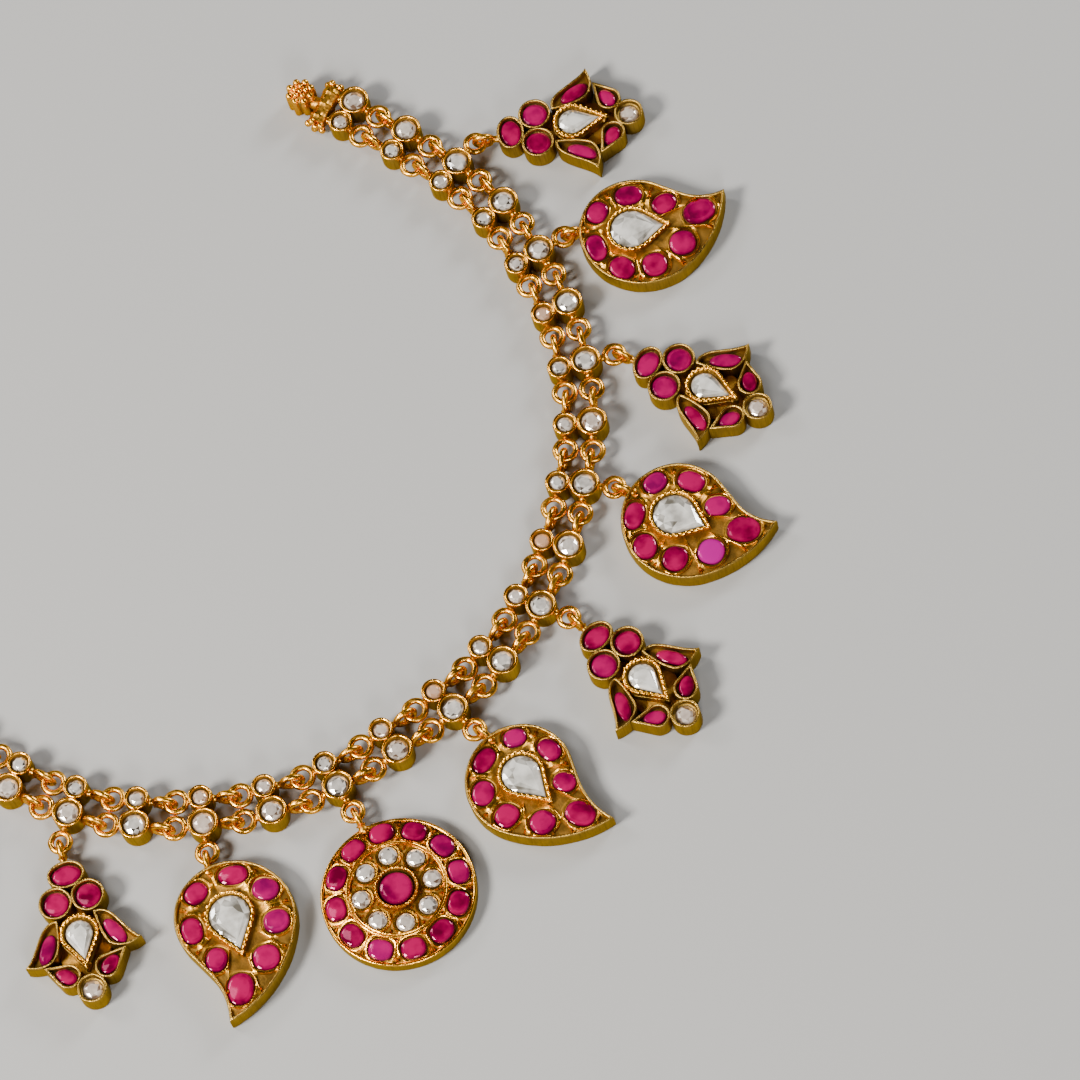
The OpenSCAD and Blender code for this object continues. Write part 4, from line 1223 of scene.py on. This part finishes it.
def drawMango(bm, form):
    plan = MangoPlan(form)
    outline = mangoOutline(form, 0, 44)
    h, rim, floor = mango["h"], mango["rim"], mango["floor"]
    # Polished rim; shade is painted on the sunken floor inside it
    stepped(bm, outline, [
        (0.25, 0, 0.3), (0.05, 0.12, 0.4), (0, 0.5, 0.5), (0, h - 0.50, 0.6), (0.04, h - 0.22, 0.9),
        (0.13, h - 0.07, 1), (0.27, h, 1), (0.42, h - 0.05, 1), (0.54, h - 0.19, 0.9),
        (rim - 0.06, h - 0.42, 0.4), (rim, floor + 0.1, 0.1), (rim + 0.1, floor - 0.05, 0.0),
    ], True, 3)
    inside = mangoOutline(form, rim - 0.08, 44)
    grown = mango["collarWall"] + mango["gap"]
    collar = moved(teardropOutline(form[7], form[8], grown - 0.12, 60), plan.hub, mango["polkiTurn"])
    rubies = mango["rubies"]
    count = len(rubies)
    middles = [plan.at(a, b) for a, b, w, l, t in rubies]
    spokes = []
    for k in range(count):
        between = (middles[k] + middles[(k + 1) % count]) / 2
        spokes.append((between - plan.hub).normalized())
    far = 40
    for k, (a, b, w, l, turn) in enumerate(rubies):
        middle = middles[k]
        outline = moved(rubyOval(w * plan.width, l * plan.width, 44, mango["square"]), middle, turn)
        wedge = [plan.hub, plan.hub + spokes[k - 1] * far,
                 plan.hub + (spokes[k - 1] + spokes[k]).normalized() * far * 1.6,
                 plan.hub + spokes[k] * far]
        corners = [plan.hub + spoke * rayToPolygon(plan.hub, spoke, edge)
                   for edge in (inside, collar) for spoke in (spokes[k - 1], spokes[k])]
        limits = [inside, wedge, collar]
        drawPocket(bm, outline, middle, limits, lambda place: floor, 0.62, plan.hub, corners)
        spoke = spokes[k]
        reach = rayToPolygon(plan.hub, spoke, inside)
        fan(bm, plan.hub + spoke * (reach - 1.35), degrees(atan2(spoke.y, spoke.x)), 2.5, floor + 0.04)
    even = evenly(teardropOutline(form[7], form[8], grown, 60), 216)
    mesh = template(drawCollar, even, floor, floor + mango["collarRise"], mango["collarWall"] - 0.05, 27,
                    floor + 0.42)
    addCopy(bm, mesh, turned(mango["polkiTurn"], plan.hub.x, plan.hub.y))
    drawBail(bm, bailFoot + 0.5)
    bead(bm, (0, -bailFoot + 0.05, chain["level"] + 0.35), 1.9, 0.6, 0.7)


mangoMeshes = {name: template(drawMango, mango[name]) for name in ("broad", "slim", "long")}
polkiGirdle = mango["floor"] + mango["collarRise"] / 2
mangoGirdle = mango["floor"] - 0.1
mangoRubies = newDrawing()
for number, drop in enumerate(dropsOf("mango")):
    form = mangoForm(drop)
    plan = MangoPlan(form)
    name = {mango["slim"]: "slim", mango["long"]: "long", mango["broad"]: "broad"}[form]
    place = dropPlace(drop)
    bm = newDrawing()
    addCopy(bm, mangoMeshes[name], place)
    handMade(bm, 0.06)
    finishPiece(f"mangoSetting{number + 1}", bm, [goldMaterial, shadedWallMaterial],
                [f"mango_setting_{number + 1}"])
    for k, (a, b, w, l, turn) in enumerate(mango["rubies"]):
        middle = plan.at(a, b)
        spot = place @ turned(turn, middle.x, middle.y, mangoGirdle) @ tilted(0.07)
        # one lilac-pink stone, all others near the common red
        tint = 0.9 if drop[0] == 6 and k == 5 else random.choice((0, 0, 0.05, 0.2))
        outline = rubyOval(w * plan.width, l * plan.width, 24, mango["square"])
        rubyStone(mangoRubies, outline, spot, 200 + 10 * number + k, tint, 0.64)
    bm = newDrawing()
    spot = place @ turned(mango["polkiTurn"], plan.hub.x, plan.hub.y, polkiGirdle)
    polkiStone(bm, form[7], form[8], spot, 300 + number)
    finishPiece(f"mangoPolki{number + 1}", bm, [polkiMaterial], [f"mango_polki_{number + 1}"], 0)
finishPiece("mangoRubies", mangoRubies, [rubyMaterial], ["mango_rubies"], 25)
print("mango drops made")


# Lotus drops

lotus = {
    "drop": 4.6, "w": 22.8, "l": 29.4, "h": 4.6, "wall": 0.5, "cellDepth": 1.2, "webH": 2.0,
    "ovalW": 7.3, "ovalL": 5.5, "round": 6.5, "roundsAt": 0.270, "foot": 5.8, "footStone": 3.9,
    "heartR": 3.9, "heartL": 11.2, "heartAt": 0.515, "heartStoneR": 2.6, "heartStoneL": 8.2, "leafR": 2.4,
    "petalTop": (0.307, 0.389), "petalShoulder": ((0.728, 0.577), (0.658, 0.359)),
    "petalTip": (1.0, 0.651), "petalLip": ((0.579, 0.692), (0.807, 0.689)),
    "petalFoot": (0.439, 0.631), "petalSide": ((0.316, 0.471), (0.342, 0.563)),
    "petalStone": (0.582, 0.556), "petalStoneSize": (3.0, 6.4), "petalStoneTurn": 27,
    "leafRoot": (0.333, 0.781), "leafTip": (0.715, 0.682), "leafStoneSize": (4.6, 3.1),
}
cellFloor = lotus["h"] - lotus["cellDepth"]
cellGirdle = cellFloor - 0.1
heartTop = cellFloor + mango["collarRise"] + 0.3
heartGirdle = heartTop - 0.7


def lotusAt(share):
    return Vector((share[0] * lotus["w"] / 2, -lotus["drop"] - share[1] * lotus["l"]))


# A bend of the petal's edge from one corner to the next, without its last point
def petalBend(start, bend, end, count):
    shares = (lotus[start], *lotus[bend], lotus[end])
    points = interpolate_bezier(*(lotusAt(share).to_3d() for share in shares), count + 1)
    return [p.to_2d() for p in points[:-1]]


petalOutline = (petalBend("petalTop", "petalSide", "petalFoot", 12)
                + petalBend("petalFoot", "petalLip", "petalTip", 14)
                + petalBend("petalTip", "petalShoulder", "petalTop", 20))
ovalAt = Vector((0, -lotus["drop"] - lotus["ovalL"] / 2))
roundAt = Vector((lotus["round"] / 2 - 0.06, -lotus["drop"] - lotus["roundsAt"] * lotus["l"]))
heartAt = Vector((0, -lotus["drop"] - lotus["heartAt"] * lotus["l"]))
footAt = Vector((0, -lotus["drop"] - lotus["l"] + lotus["foot"] / 2))
leafAt = lotusAt(lotus["leafRoot"])
leafRun = (lotusAt(lotus["leafTip"]) - leafAt).length
leafTurn = angleTo(leafAt, lotusAt(lotus["leafTip"])) + 90
leafStoneAt = leafAt + 0.12 * leafRun * ray(leafTurn - 90)


# Thin-walled cell: brushed outside in the wall material with its painted shade, a bright rounded lip, and
# shade painted on the floor pressed down round its stone
def drawCell(bm, outline, drawnDown=0.45):
    h, wall = lotus["h"], lotus["wall"]
    stepped(bm, outline, [
        (0.16, 0, 0.3), (0.02, 0.12, 0.4), (0, 0.5, 0.5), (0, h - 0.5, 0.6), (0.02, h - 0.18, 0.85),
        (0.1, h - 0.03, 1), (0.24, h, 1), (wall - 0.1, h - 0.06, 0.9), (wall - 0.01, h - 0.22, 0.5),
        (wall + 0.04, cellFloor + 0.2, 0.12), (wall + 0.16, cellFloor - 0.02, 0.05),
        (wall + drawnDown, cellFloor - 0.1, 0.0),
    ], True, 3)


def bothSides(outline):
    return [outline, [Vector((-p.x, p.y)) for p in reversed(outline)]]


# Crimped teardrop in the middle, drawn round its own origin
def drawHeart(bm):
    heart = evenly(teardropOutline(lotus["heartR"], lotus["heartL"], 0, 60), 208)
    # The low base round the heart is painted with shade
    stepped(bm, heart, [(0, 0.2, 0.2), (0, lotus["webH"], 0.2), (0.02, cellFloor + 0.3, 0.35),
                        (0.3, cellFloor + 0.45, 0.3)], True, 2)
    drawCollar(bm, drawnIn(heart, 0.02), cellFloor, heartTop, mango["collarWall"], 26, heartGirdle - 0.15)


def drawLotus(bm):
    drawCell(bm, moved(ovalOutline(lotus["ovalW"], lotus["ovalL"], 48), ovalAt))
    drawCell(bm, moved(ovalOutline(lotus["foot"], lotus["foot"], 44), footAt), 0.5)
    for outline in bothSides(moved(ovalOutline(lotus["round"], lotus["round"], 48), roundAt)):
        drawCell(bm, outline)
    for outline in bothSides(petalOutline):
        drawCell(bm, outline, 0.2)
    leaf = teardropOutline(lotus["leafR"], lotus["leafR"] + leafRun, 0, 40)
    for outline in bothSides(moved(leaf, leafAt, leafTurn)):
        drawCell(bm, outline, 0.2)
    petalFoot, petalTop = lotusAt(lotus["petalFoot"]), lotusAt(lotus["petalTop"])
    right = [footAt, leafAt, petalFoot, petalTop, roundAt]
    web = right + [ovalAt] + [Vector((-p.x, p.y)) for p in reversed(right[1:])]
    # The low web between the cells is painted with shade
    stepped(bm, web, [(0, 0, 0.1), (0, lotus["webH"] - 0.15, 0.1), (0.15, lotus["webH"], 0.1)])
    addCopy(bm, template(drawHeart), shifted(heartAt.x, heartAt.y, 0))
    drawBail(bm, lotus["drop"] + 0.4)


lotusMesh = template(drawLotus)
lotusRubies, dropDiamonds = newDrawing(), newDrawing()
for number, drop in enumerate(dropsOf("lotus")):
    place = dropPlace(drop)
    bm = newDrawing()
    addCopy(bm, lotusMesh, place)
    handMade(bm, 0.06)
    finishPiece(f"lotusSetting{number + 1}", bm, [goldMaterial, shadedWallMaterial],
                [f"lotus_setting_{number + 1}"])
    bm = newDrawing()
    spot = place @ turned(0, heartAt.x, heartAt.y, heartGirdle)
    polkiStone(bm, lotus["heartStoneR"], lotus["heartStoneL"], spot, 400 + number)
    finishPiece(f"lotusPolki{number + 1}", bm, [polkiMaterial], [f"lotus_polki_{number + 1}"], 0)
    inset = 2 * (lotus["wall"] + 0.08)
    roundD = lotus["round"] - inset
    oval = ovalOutline(lotus["ovalW"] - inset, lotus["ovalL"] - inset, 24)
    stones = [(oval, turned(0, ovalAt.x, ovalAt.y))]
    for side in (1, -1):
        flip = Matrix.Diagonal((side, 1, 1, 1))
        petalAt = lotusAt(lotus["petalStone"])
        stones.append((ovalOutline(roundD, roundD, 24), turned(0, side * roundAt.x, roundAt.y)))
        stones.append((rubyOval(*lotus["petalStoneSize"], 24, 2.1),
                       flip @ turned(lotus["petalStoneTurn"], petalAt.x, petalAt.y)))
        stones.append((ovalOutline(*lotus["leafStoneSize"], 24),
                       flip @ turned(leafTurn - 90, leafStoneAt.x, leafStoneAt.y)))
    for k, (outline, spot) in enumerate(stones):
        seat = place @ spot @ shifted(0, 0, cellGirdle) @ tilted(0.06)
        rubyStone(lotusRubies, outline, seat, 500 + 10 * number + k, random.choice((0, 0, 0.1)))
    spot = place @ turned(0, footAt.x, footAt.y, cellGirdle)
    brilliant(dropDiamonds, lotus["footStone"], spot, 600 + number, 0.25)
for k in range(medallion["diamonds"]):
    angle = medallion["diamondTurn"] + k * 360 / medallion["diamonds"]
    seat = shifted(medallion["diamondR"], 0, medallion["crownH"] - 0.25)
    spot = medallionPlace @ turned(angle) @ seat
    brilliant(dropDiamonds, medallion["diamondD"], spot, 700 + k, random.choice((0.05, 0.15)))
finishPiece("lotusRubies", lotusRubies, [rubyMaterial], ["lotus_rubies"], 25)
finishPiece("dropDiamonds", dropDiamonds, [diamondMaterial], ["drop_diamonds"], 0)
print("lotus drops made")

for mesh in [m for m in bpy.data.meshes if m.users == 0]:
    bpy.data.meshes.remove(mesh)
